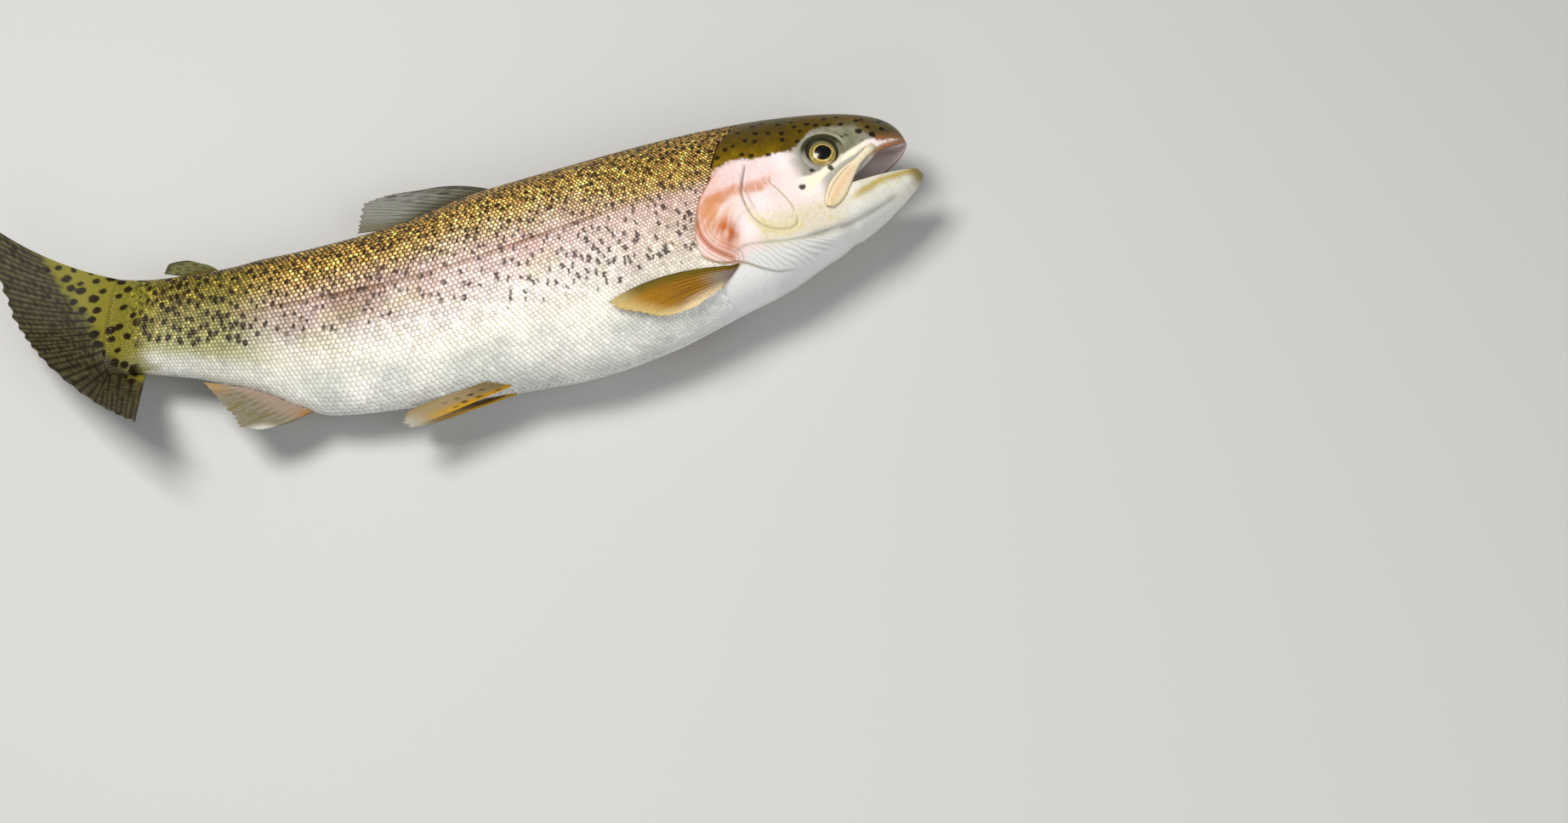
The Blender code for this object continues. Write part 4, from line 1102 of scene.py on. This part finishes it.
def normals_of(points, quads, tris):
    normal = np.zeros_like(points)
    for faces, diagonals in ((quads, (0, 2, 1, 3)), (tris, (0, 1, 0, 2))):
        a, b, c, d = (points[faces[:, k]] for k in diagonals)
        across = np.cross(b - a, d - c)
        for k in range(faces.shape[1]):
            np.add.at(normal, faces[:, k], across)
    return normal / np.maximum(np.linalg.norm(normal, axis=1), 1e-15)[:, None]


ORBIT = 0.0069  # m, the radius of the opening that the eye shows in


def sink_orbits(points, lining):
    """Opens the orbits: the skin's rim is drawn to the orbit's edge and its inside passes under the eye."""
    for side in (1, -1):
        centre, out = eye_axis(side)
        off = points - centre
        depth = off @ out
        flat = off - depth[:, None] * out
        radius = np.linalg.norm(flat, axis=1)
        here = (radius < 0.012) & (np.abs(depth) < 0.008) & ~lining
        r, z = radius[here], depth[here]
        gap = r - ORBIT
        pull = smooth(0.0, 0.0016, np.abs(gap))
        r_new = ORBIT + gap * (0.15 + 0.85 * pull)
        under = EYE_HALF_THICKNESS * np.sqrt(np.clip(1 - (r_new / EYE_RADIUS) ** 2, 0, 1)) - 0.0009
        ridge = 0.00030 * bell((r_new - ORBIT - 0.0008) / 0.0009, 1.0)
        ridge = ridge - 0.0002 * bell((r_new - 0.0092) / 0.0007, 1.0)
        inside = smooth(ORBIT + 0.0001, ORBIT - 0.00035, r_new)
        z_new = z + ridge * (1 - inside)
        z_new = z_new + (np.minimum(under, z_new) - z_new) * inside
        direction = flat[here] / np.maximum(r, 1e-9)[:, None]
        points[here] = centre + direction * r_new[:, None] + out * z_new[:, None]
    return points


def make_skin():
    points, t, h, a, low_jaw, lining, faces = build_skin()
    kept, quads, tris = weld(points, faces)
    points, t, h, a, low_jaw, lining = (v[kept] for v in (points, t, h, a, low_jaw, lining))
    quads, tris = facing_out(points, [quads, tris])
    out = normals_of(points, quads, tris)
    scaled = (t > scale_front(h)) & ~lining & (t > 0.13)
    rise = relief(t, h, low_jaw & (t < 0.10)) * 0.001
    rise[lining] = 0
    rise[scaled] = np.minimum(rise[scaled], 0) - SKIN_INSET
    points = sink_orbits(pressed(points) + out * rise[:, None], lining)
    tint = np.zeros((len(t), 3))
    bare = ~scaled & ~lining
    tint[bare] = head_tint(t[bare], h[bare], (low_jaw & (t < 0.115))[bare])
    right = ((points - place(t, h, 0 * h)) * along_spine(SPINE_RIGHT, t)).sum(1) >= 0
    for side in (1, -1):
        here = scaled & (right if side > 0 else ~right)
        y = SHEET.y(t[here], a[here])
        shade = 0.85 + 0.15 * smooth(0.5, 0.75, a[here])
        bare_end = np.maximum(0.6 * smooth(0.992, 1.0, t[here]), 0.45 * smooth(0.040, 0.015, a[here]))
        tint[here] = body_tint(t[here], a[here], side, bare_end, y) * shade[:, None]
    flesh = painted(srgb(214, 200, 194), ((158, 136, 136), smooth(0.0, 1.0, a)),
                    ((104, 80, 80), smooth(0.080, 0.135, t)))
    tint[lining] = flesh[lining]
    skin = mesh_object("skin", points, [quads, tris], tint, SKIN)
    print("skin faces", len(quads), len(tris))
    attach(skin, "root")
    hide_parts("head", "lower_jaw", "trunk_front", "trunk_rear", "tail_stalk", "gill_cover_right",
                "gill_cover_left")


# ------------------------------------------------------------------ scales
ROW_SPACING = smooth_curve((  # mm between rows, by t
    (0.17, 1.20), (0.30, 1.38), (0.40, 1.60), (0.54, 1.90), (0.68, 2.10), (0.78, 1.85), (0.88, 1.55),
    (1.0, 1.30)))
RIM_POINTS = 10
TIP_RISE, ROOT_SINK, DOME, SCALE_EDGE = 0.00016, 0.00016, 0.00016, 0.00005  # m


def scale_places():
    """(t, y) of every scale on one flank: rows along the lateral line, each set half a step on."""
    places = []
    spacings = ROW_SPACING(np.linspace(0, 1, 1001))[:, 0]
    for row in range(-44, 45):
        t = 0.165 + (0.5 if row % 2 else 0.0) * spacings[165] * MM
        while t < 1.004:
            pitch = spacings[min(int(t * 1000), 1000)] * 1.04
            places.append((t, row, pitch))
            t += pitch * MM
    table = np.array(places)
    spacing = ROW_SPACING(table[:, 0])[:, 0]
    return table[:, 0], table[:, 1] * spacing, table[:, 2], spacing


def scale_template():
    """(x, y, rise, lift) of one scale's points, and its faces; x and y are in pitches and spacings."""
    turn = np.arange(RIM_POINTS) * 2 * np.pi / RIM_POINTS
    points = [(0.0, 0.0, 1.0, 1.0)]
    for size, rise, lift in ((0.42, 0.86, 1.0), (0.70, 0.50, 0.10), (1.0, 0.0, 0.0)):
        for angle in turn:
            points.append((size * math.cos(angle), size * math.sin(angle), rise, lift))
    for angle in turn:
        points.append((math.cos(angle), math.sin(angle), -2.0, 0.0))
    points.append((0.0, 0.0, -2.0, 0.0))
    faces_3, faces_4 = [], []
    n = RIM_POINTS
    for k in range(n):
        m = (k + 1) % n
        faces_3.append((0, 1 + k, 1 + m))
        for ring in range(3):
            a, b = 1 + ring * n, 1 + (ring + 1) * n
            faces_4.append((a + k, b + k, b + m, a + m))
        faces_3.append((1 + 3 * n + k, 1 + 4 * n, 1 + 3 * n + m))
    return np.array(points), np.array(faces_3), np.array(faces_4)


SCALE_REACH, SCALE_SHIFT, SCALE_BREADTH = 0.86, 0.06, 0.74  # shares of the pitch and of the spacing
PIECE_ENDS = (0.0, 0.36, 0.53, 0.76, 1.1)  # the t at which one scale piece ends and the next begins


def scale_tints(rng, t, a, side, vt, va, lift, vy, pored):
    """Colours of the scales' points, each scale a little brighter, darker or warmer than the next; the spread
    in brightness is partly the scales' own tone and partly painted glints, strongest on the back.
    """
    lively = smooth(0.46, 0.32, a)
    uneven = 0.14 + 0.27 * lively + 0.20 * smooth(0.80, 0.90, t) * smooth(0.70, 0.60, a) * (1 - lively)
    uneven = (uneven + 0.16 * lively * smooth(0.44, 0.32, t)) * (0.40 + 0.60 * smooth(0.70, 0.60, a))
    uneven = uneven * (0.15 + 0.85 * smooth(0.992, 0.960, t))
    # shade gives each scale its random brightness, partly a painted glint
    shade = np.exp(rng.normal(0, 1, len(t)) * uneven - 0.3 * uneven**2)[:, None, None]
    warmth = 1 + rng.normal(0, 1, (len(t), 1, 3)) * (uneven[:, None, None] * np.array([0.07, 0.03, 0.22]))
    tint = body_tint(vt.ravel(), np.clip(va, 0, 1).ravel(), side, lift.ravel(), vy.ravel())
    tint = tint.reshape(vt.shape + (3,)) * shade * warmth
    tint[pored] = tint[pored] * 0.86
    return tint


def make_scales():
    template, tris, quads = scale_template()
    for side, word in ((1, "right"), (-1, "left")):
        t, y, pitch, spacing = scale_places()
        a, inside = SHEET.angle(t, y)
        front = scale_front(half_section(t, a)[0])
        keep = inside & (t > front + 0.0015)
        t, y, pitch, spacing, a, front = (v[keep] for v in (t, y, pitch, spacing, a, front))
        rng = np.random.default_rng(21 + side)
        count = len(t)
        size = rng.normal(1.0, 0.05, count) * (0.80 + 0.20 * smooth(0.0, 0.03, t - front))
        size = size * (0.84 + 0.16 * smooth(1.000, 0.975, t))
        t = t + rng.normal(0, 0.07, count) * pitch * MM
        step = 1e-3
        girth = (SHEET.y(t, np.clip(a + step, 0, 1)) - SHEET.y(t, np.clip(a - step, 0, 1))) / (2 * step)
        x_local = template[None, :, 0] * SCALE_REACH - SCALE_SHIFT
        y_local = template[None, :, 1] * SCALE_BREADTH * (1 - 0.10 * np.clip(template[None, :, 0], 0, 1))
        turn = rng.normal(0, 0.10, count)[:, None]
        x_mm = x_local * pitch[:, None] * size[:, None]
        y_mm = y_local * spacing[:, None] * size[:, None]
        x_mm, y_mm = x_mm - turn * y_mm, y_mm + turn * x_mm
        vt = t[:, None] + x_mm * MM
        va = a[:, None] + y_mm / girth[:, None]
        facing = np.full(vt.shape, side)
        rise = template[None, :, 2]
        dome = np.where(rise >= 0, DOME * rise + SCALE_EDGE, SCALE_EDGE + rise * 0.00012)
        tilt = x_local * (TIP_RISE + ROOT_SINK) / 1.6
        twist = rng.normal(0, 0.05, count)[:, None] * y_local * 0.0004
        height = tilt + dome + twist - SKIN_INSET * 0.62
        points = pressed(body_point(vt, va, facing)) + body_normal(vt, va, facing) * height[..., None]
        plain_front = smooth(0.028, 0.0, t - scale_front(half_section(t, a)[0])) * smooth(0.60, 0.75, a)
        lift = np.maximum(template[None, :, 3], plain_front[:, None])
        tint = scale_tints(rng, t, a, side, vt, va, lift, y[:, None] + y_mm, np.abs(y / spacing) < 0.3)
        for k in range(4):
            group = (t >= PIECE_ENDS[k]) & (t < PIECE_ENDS[k + 1])
            number = group.sum()
            first = (np.arange(number) * len(template))[:, None, None]
            piece = mesh_object("scales_%s_%d" % (word, k + 1), points[group].reshape(-1, 3),
                                [(tris[None] + first).reshape(-1, 3), (quads[None] + first).reshape(-1, 4)],
                                tint[group].reshape(-1, 3), SCALE)
            patch = np.stack([0.02 + 0.96 * t[group], 0.5 + side * 0.47 * a[group]], axis=-1)
            add_bake_map(piece, (patch[:, None, :] + template[None, :, :2] * 0.0014).reshape(-1, 2))
            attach(piece, "root")
            print(piece.name, number, "scales", number * (len(tris) + 2 * len(quads)), "triangles")


def add_bake_map(piece, uv):
    mesh = piece.data
    layer = mesh.uv_layers.new(name="OFBake")
    index = np.zeros(len(mesh.loops), np.int32)
    mesh.loops.foreach_get("vertex_index", index)
    layer.data.foreach_set("uv", uv[index].astype(np.float32).ravel())


# ------------------------------------------------------------------ eyes
IRIS_DROP, IRIS_BACK = 1.3, 0.4  # mm, from the eye's middle to the iris's
CORNEA_RISE, CORNEA_RADIUS = 0.00045, 0.0053  # m


def make_eye(side, word):
    centre, out = eye_axis(side)
    ahead = place(np.array([EYE_T - 0.01]), EYE_H, 0.0)[0] - place(np.array([EYE_T]), EYE_H, 0.0)[0]
    ahead = ahead - (ahead @ out) * out
    ahead /= np.linalg.norm(ahead)
    up = np.cross(out, ahead) * side
    turn = np.linspace(0, 2 * np.pi, 97)[:-1]
    tip = np.linspace(0, np.pi * 0.75, 70)
    tip_grid, turn_grid = np.meshgrid(tip, turn, indexing="ij")
    radius = EYE_RADIUS * np.sin(tip_grid)
    height = EYE_HALF_THICKNESS * np.cos(tip_grid)
    front = tip_grid < np.pi / 2
    height = height + np.where(front, CORNEA_RISE * np.clip(1 - (radius / CORNEA_RADIUS)**2, 0, 1), 0)
    x, y = radius * np.cos(turn_grid), radius * np.sin(turn_grid)
    points = (centre + x[..., None] * ahead + y[..., None] * up + height[..., None] * out).reshape(-1, 3)
    # the iris sits low and a little back, and the pupil comes to a blunt point towards the snout
    ahead_mm, up_mm = x * 1000 + IRIS_BACK, y * 1000 + IRIS_DROP
    r = np.hypot(ahead_mm, up_mm)
    angle = np.arctan2(up_mm, ahead_mm)
    past = r - (3.35 + 0.45 * bell(angle, 0.55))
    streak = lattice_noise(angle * 9 + 30, r * 0.9, 31) * 0.6
    streak = streak + lattice_noise(angle * 22 + 60, r * 2.0, 32) * 0.4
    shadow = 0.8 * smooth(-0.2, 0.9, np.sin(angle)) + 0.4 * streak
    colour = painted(
        srgb(112, 92, 34),
        ((178, 150, 74), 0.4 + 0.9 * streak),
        ((84, 74, 34), shadow * smooth(0.3, 1.0, past)),
        ((222, 196, 104), bell(past - 0.35, 0.28) * 0.95),
        ((196, 176, 110), 0.7 * bell(r - 5.1, 0.25)),
        ((50, 46, 26), smooth(5.25, 5.7, r + 0.15 * streak)),
        ((84, 80, 54), smooth(6.2, 7.6, r) * 0.6),
        ((5, 6, 9), smooth(0.12, -0.12, past) * front),
        ((40, 38, 32), ~front * 1.0))
    rows, columns = r.shape
    i, j = np.meshgrid(np.arange(rows - 1), np.arange(columns), indexing="ij")
    one = (i * columns + j).ravel()
    two = (i * columns + (j + 1) % columns).ravel()
    quads = np.stack([one, one + columns, two + columns, two], axis=1)
    kept, quads, tris = weld(points, quads if side > 0 else quads[:, ::-1])
    piece = mesh_object("eyeball_" + word, points[kept], [quads, tris], colour.reshape(-1, 3)[kept], EYE)
    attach(piece, "root")
    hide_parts("eye_" + word)


# ------------------------------------------------------------------ plates and fins
def closed_sheet(name, middle, across, half, tint, look):
    """A closed thin solid from a middle surface, its half thickness and its two faces' colours."""
    rows, columns = middle.shape[:2]
    half = np.broadcast_to(half, middle.shape[:2])[..., None]
    points = np.concatenate([(middle + across * half * way).reshape(-1, 3) for way in (1, -1)])
    count = rows * columns
    faces = [grid_faces(rows, columns), grid_faces(rows, columns, count, True)]
    edge = [i * columns for i in range(rows)] + [(rows - 1) * columns + j for j in range(1, columns)]
    edge += [i * columns + columns - 1 for i in range(rows - 2, -1, -1)] + list(range(columns - 2, 0, -1))
    edge = np.array(edge)
    after = np.roll(edge, -1)
    faces.append(np.stack([after, edge, edge + count, after + count], axis=1))
    return mesh_object(name, points, faces, np.concatenate([tint.reshape(-1, 3)] * 2), look)


def sheet_normal(middle):
    across = np.cross(np.gradient(middle, axis=0), np.gradient(middle, axis=1))
    return across / np.maximum(np.linalg.norm(across, axis=-1), 1e-12)[..., None]


def edge_at(knots, s):
    """Points of a smooth edge at shares s of its knots."""
    return smooth_curve(np.hstack([np.linspace(0, 1, len(knots))[:, None], knots]))(s)


def make_maxilla(side, word):
    """The long blade over the mouth's corner, with the small blade on its upper edge."""
    u, v = np.meshgrid(np.linspace(0, 1, 90), np.linspace(0, 1, 26), indexing="ij")
    front, rear = edge_at(BLADE_FRONT, u), edge_at(BLADE_REAR, u)
    narrow = 0.5 - 0.5 * np.sqrt(np.clip(1 - np.clip((u - 0.86) / 0.16, 0, 1) ** 2, 0, 1))
    share = v * (1 - 2 * narrow) + narrow
    t, h = np.moveaxis(front + (rear - front) * share[..., None], -1, 0)
    a = flank_angle(t, h)
    seam = bell(v - 0.80, 0.035) * smooth(0.45, 0.6, u)
    crown = 0.45 * np.sin(np.pi * v) ** 0.6 - 0.30 * seam
    lift = (0.0009 + 0.0010 * crown) * smooth(-0.05, 0.12, u)
    facing = np.full(t.shape, side)
    normal = body_normal(t, a, facing)
    middle = body_point(t, a, facing) + normal * lift[..., None]
    thick = 0.00055 * (0.35 + 0.65 * np.sin(np.pi * v) ** 0.5)
    blotch = noise_mm(t, h, 2.5, 41)
    colour = painted(
        srgb(238, 224, 192),
        ((230, 184, 142), bell(v - 0.50, 0.25) * smooth(0.3, 0.6, u) * 0.7),
        ((214, 200, 138), smooth(0.84, 1.0, u) * 0.7 * (0.6 + 0.5 * blotch)),
        ((150, 140, 112), seam * 0.8),
        ((192, 166, 96), bell(v, 0.10) * 0.75),
        ((196, 176, 118), bell(v - 1, 0.06) * 0.6),
        ((150, 136, 88), smooth(0.12, 0.0, u) * 0.8 * (0.6 + 0.6 * blotch)))
    piece = closed_sheet("upper_jaw_blade_" + word, middle, normal, thick, colour, BLADE)
    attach(piece, "root")
    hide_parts("maxilla_" + word)


def fan(root, margin, bow, s, v):
    """Points at shares s along a fin and v from its root to its margin."""
    near, far = edge_at(root, s), edge_at(margin, s)
    bent = np.array(bow) * (4 * v * (1 - v) * (1 - s) ** 2)[..., None]
    return near + (far - near) * v[..., None] + np.where(v[..., None] > 0, bent, 0)


def ray_pattern(s, v, rays):
    """0 on the web and 1 along the rays, each of which forks once."""
    def ridge(count, width):
        off = np.abs((s * count) % 1 - 0.5) * 2
        return smooth(1 - width, 1 - width * 0.25, off)
    fork = smooth(0.40, 0.62, v)
    return ridge(rays, 0.62) * (1 - fork) + ridge(2 * rays, 0.60) * fork


def make_fin(name, node, surface, rays, thickness, palette, ragged=0.03, root_flesh=None, detail=1.0):
    """A fin of forking rays and thin web. surface(s, v) gives its middle, palette its colours."""
    s = np.linspace(0, 1, int(rays * 8 * detail) + 1)
    v = np.concatenate([[-0.07, -0.03], np.linspace(0, 1, int(44 * detail))])
    s_grid, v_grid = np.meshgrid(s, v, indexing="ij")
    notch = ragged * np.abs(np.sin(np.pi * s_grid * rays)) ** 1.5
    wander = 0.5 * ragged * lattice_noise(s_grid * rays * 0.7, 0 * s_grid + 2, 51)
    reach = np.where(v_grid > 0, v_grid * (1 - (notch + wander) * v_grid), v_grid)
    middle = surface(s_grid, reach)
    across = sheet_normal(middle)
    rays_here = ray_pattern(s_grid, v_grid, rays)
    root, margin = thickness
    base = root + (margin - root) * np.clip(v_grid, 0, 1) ** 0.5
    half = base / 2 * (0.42 + 0.58 * rays_here * (1 - 0.35 * v_grid))
    if root_flesh is not None:
        half = np.maximum(half, root_flesh(s_grid, v_grid) / 2)
    tint = palette(s_grid, v_grid, rays_here)
    piece = closed_sheet(name, middle, across, half, tint, FIN)
    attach(piece, "root")
    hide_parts(node)


def median_root(span, on_back):
    t = np.linspace(*span, 11)
    back, belly = body_at(t)[:2]
    h = back + 0.0010 if on_back else -belly - 0.0010
    return np.stack([t, h, 0 * t], axis=-1)


def median_surface(root, margin, bow, side=1):
    def surface(s, v):
        t, h, w = np.moveaxis(fan(root, margin, bow, s, v), -1, 0)
        return place(t, h, side * w)
    return surface


def pectoral_surface(side):
    def surface(s, v):
        spot = fan(PECTORAL_ROOT, PECTORAL_MARGIN, PECTORAL_BOW, s, v)
        near, far = PECTORAL_LIFT[side]
        lift = near * smooth(-0.08, 0.06, v) + (far - near) * v
        facing = np.full(s.shape, side)
        return (body_point(spot[..., 0], spot[..., 1], facing)
                + body_normal(spot[..., 0], spot[..., 1], facing) * lift[..., None])
    return surface


def base_tint(colour, s, v, seed):
    noise = 0.06 * lattice_noise(s * 24, v * 10, seed) + 0.06 * lattice_noise(s * 60, v * 24, seed + 1)
    return srgb(*colour) * (1 + noise)[..., None]


def dorsal_palette(s, v, rays):
    spots = spots_on(s, v, 8, 5, 0.34, 62) * smooth(0.55, 0.35, s) * smooth(0.2, 0.4, v)
    return painted(
        base_tint((98, 97, 84), s, v, 61),
        ((54, 49, 27), 0.60 * rays * smooth(1.0, 0.3, v)),
        ((134, 137, 131), 0.65 * smooth(0.22, 0.5, v) * smooth(0.12, 0.3, s) * (1 - 0.8 * rays)),
        ((88, 80, 42), smooth(0.66, 0.92, s) * smooth(0.1, 0.4, v) * 0.7),
        ((58, 53, 22), bell(v - 0.14, 0.10) * 0.85),
        ((38, 36, 20), smooth(0.07, 0.01, s) * 0.9),
        (INK, 0.85 * spots))


def adipose_palette(s, v, rays):
    return painted(
        base_tint((100, 100, 56), s, v, 63),
        ((84, 74, 24), smooth(0.4, 0.0, v)),
        (INK, 0.75 * spots_on(s, v, 5, 3, 0.30, 64) * smooth(0.05, 0.25, v)),
        (INK, 0.75 * bell(v - 1.0, 0.16) * smooth(0.15, 0.4, s)),
        ((88, 66, 30), 0.5 * bell(np.hypot((s - 0.35) * 1.4, v - 0.45), 0.16)))


def anal_palette(s, v, rays):
    streak = smooth(0.1, 0.7, lattice_noise(s * 26, v * 3, 74))
    return painted(
        base_tint((128, 121, 102), s, v, 65),
        ((148, 129, 114), smooth(0.55, 0.1, v) * 0.8),
        ((92, 86, 58), 0.55 * rays * smooth(0.15, 0.4, v) * smooth(1.0, 0.8, v)),
        ((104, 92, 40), 0.6 * streak * smooth(0.25, 0.5, v)),
        ((172, 136, 84), smooth(0.74, 0.98, s) * smooth(0.2, 0.6, v) * 0.7),
        ((196, 192, 184), smooth(0.24, 0.06, s) * smooth(0.55, 0.85, v) * 0.9),
        ((146, 98, 12), bell(np.hypot(s * 1.2, v - 0.10), 0.12) * 0.85))


def pelvic_palette(s, v, rays):
    rows = spots_on(s, v, 3, 7, 0.24, 75) * smooth(0.66, 0.50, v)
    rows = rows * smooth(0.05, 0.15, s) * smooth(0.75, 0.6, s)
    return painted(
        base_tint((146, 128, 90), s, v, 67),
        ((104, 86, 44), 0.45 * rays),
        ((186, 140, 10), smooth(0.42, 0.12, s) * smooth(0.95, 0.45, v) * 0.95),
        ((160, 160, 152), smooth(0.72, 1.0, v) * smooth(0.8, 0.2, s) * 0.75),
        ((44, 28, 6), rows * 0.95))


def pectoral_palette(s, v, rays):
    streak = smooth(0.0, 0.7, lattice_noise(s * 30, v * 2, 76))
    return painted(
        base_tint((170, 122, 12), s, v, 69),
        ((100, 60, 2), 0.75 * rays * smooth(0.10, 0.35, v)),
        ((104, 62, 4), 0.70 * np.maximum(streak, 0.5) * smooth(0.95, 0.45, v)),
        ((98, 84, 8), smooth(0.26, 0.05, s) * 0.9),
        ((66, 58, 10), smooth(0.05, 0.01, s) * 0.7),
        ((142, 132, 122), smooth(0.34, 0.06, v) * smooth(0.1, 0.3, s) * 0.9),
        ((234, 212, 172), smooth(0.50, 0.94, s + 0.06 * lattice_noise(s * 9, v * 6, 80)) * 0.85),
        ((214, 192, 130), smooth(0.74, 1.0, v) * 0.7))


def tail_palette(s, v, rays):
    t, h, _ = np.moveaxis(fan(TAIL_ROOT, TAIL_MARGIN, TAIL_BOW, s, np.clip(v, 0, 1)), -1, 0)
    colour, past = tail_shade(t, h)
    out = smooth(-2.0, 3.0, past)
    flecks = spots_on(s, v, 19, 15, 0.42, 73) * smooth(0.0, 4.0, past)
    return painted(
        colour * (1 + (0.62 - 1.22 * rays) * out)[..., None],
        ((96, 92, 44), 0.5 * out * smooth(9, 2, past) * (1 - rays)),
        (INK, np.maximum(0.97 * tail_ovals(t, h) * smooth(7.0, 2.0, past), 0.85 * flecks)))


RAY_THICKNESS, FLESHY_THICKNESS = (0.0013, 0.00045), (0.0018, 0.0007)  # m, at the root and at the margin


def make_fins():
    for name, node, span, on_back, margin, bow, rays, thickness, palette, ragged in (
            ("dorsal_rays", "dorsal_fin", DORSAL_SPAN, True, DORSAL_MARGIN, DORSAL_BOW,
             13, RAY_THICKNESS, dorsal_palette, 0.035),
            ("adipose_lobe", "adipose_fin", ADIPOSE_SPAN, True, ADIPOSE_MARGIN, ADIPOSE_BOW,
             5, FLESHY_THICKNESS, adipose_palette, 0.0),
            ("anal_rays", "anal_fin", ANAL_SPAN, False, ANAL_MARGIN, ANAL_BOW,
             12, RAY_THICKNESS, anal_palette, 0.05)):
        surface = median_surface(median_root(span, on_back), margin, bow)
        make_fin(name, node, surface, rays, thickness, palette, ragged)
    for side, word, margin in ((1, "right", PELVIC_MARGIN), (-1, "left", PELVIC_MARGIN_TUCKED)):
        t, a = np.array(PELVIC_ROOT).T
        h, w = half_section(t, a)
        root = np.stack([t, h - 0.0016, w], axis=-1)
        make_fin("pelvic_rays_" + word, "pelvic_fin_" + word, median_surface(root, margin, (0, 0, 0), side),
                 9, RAY_THICKNESS, pelvic_palette, 0.04)
        make_fin("pectoral_rays_" + word, "pectoral_fin_" + word, pectoral_surface(side),
                 12, RAY_THICKNESS, pectoral_palette, 0.02)

    def flesh(s, v):
        across = np.sin(np.pi * np.clip(s / 0.8, 0, 1)) ** 0.7
        return 0.0009 + 0.0054 * across * smooth(0.30, -0.04, v) ** 1.3

    make_fin("tail_rays", "tail_fin", median_surface(TAIL_ROOT, TAIL_MARGIN, TAIL_BOW),
             19, RAY_THICKNESS, tail_palette, 0.03, flesh, 1.8)


# ------------------------------------------------------------------ floor, light and camera
def make_stage():
    mesh = bpy.data.meshes.new("floor")
    mesh.from_pydata([(-4, -4, 0), (4, -4, 0), (4, 4, 0), (-4, 4, 0)], [], [(0, 1, 2, 3)])
    mesh.materials.append(new_material("floor paper", Base_Color=(0.56, 0.56, 0.55, 1), Roughness=0.8)[0])
    floor = bpy.data.objects.new("floor", mesh)
    bpy.context.scene.collection.objects.link(floor)
    world = bpy.data.worlds.new("soft daylight")
    world.use_nodes = True
    set_inputs(world.node_tree.nodes["Background"], {"Color": (0.93, 0.96, 1.0, 1), "Strength": 0.17})
    bpy.context.scene.world = world
    bpy.context.scene.view_settings.view_transform = "Standard"
    for name, place_at, size, power, colour in (
            ("key", (-0.30, 0.25, 1.20), 0.50, 15.0, (1.0, 0.97, 0.92)),
            ("fill", (0.70, -0.75, 0.95), 0.7, 5.5, (0.95, 0.97, 1.0)),
            ("front", (-0.20, -0.9, 0.60), 0.6, 1.9, (1.0, 1.0, 1.0))):
        data = bpy.data.lights.new(name, "AREA")
        data.size, data.energy, data.color = size, power, colour
        lamp = bpy.data.objects.new(name, data)
        lamp.location = place_at
        lamp.rotation_euler = (Vector((0, 0, 0.02)) - Vector(place_at)).to_track_quat("-Z", "Y").to_euler()
        bpy.context.scene.collection.objects.link(lamp)


CAMERA_AT = (-0.09076, -0.50187, 0.87501)  # from the snout tip, in metres
CAMERA_ELEVATION, CAMERA_ROLL = 66.0, -12.248  # degrees
FOCAL_LENGTH, SENSOR = 54.926, 36.0  # mm


def make_camera():
    data = bpy.data.cameras.new("camera")
    data.sensor_width = SENSOR
    data.lens = FOCAL_LENGTH
    data.clip_start = 0.01
    elevation, roll = math.radians(CAMERA_ELEVATION), math.radians(CAMERA_ROLL)
    back = Vector((0, -math.cos(elevation), math.sin(elevation)))
    right = Vector((1, 0, 0))
    up = back.cross(right)
    across = right * math.cos(roll) + up * math.sin(roll)
    upright = up * math.cos(roll) - right * math.sin(roll)
    camera = bpy.data.objects.new("camera", data)
    turned = Matrix((across, upright, back)).transposed().to_4x4()
    camera.matrix_world = Matrix.Translation(Vector(CAMERA_AT) + Vector(offset.tolist())) @ turned
    bpy.context.scene.collection.objects.link(camera)
    bpy.context.scene.camera = camera


make_skin()
make_scales()
for eye_side, eye_word in ((1, "right"), (-1, "left")):
    make_eye(eye_side, eye_word)
    make_maxilla(eye_side, eye_word)
make_fins()
make_stage()
make_camera()
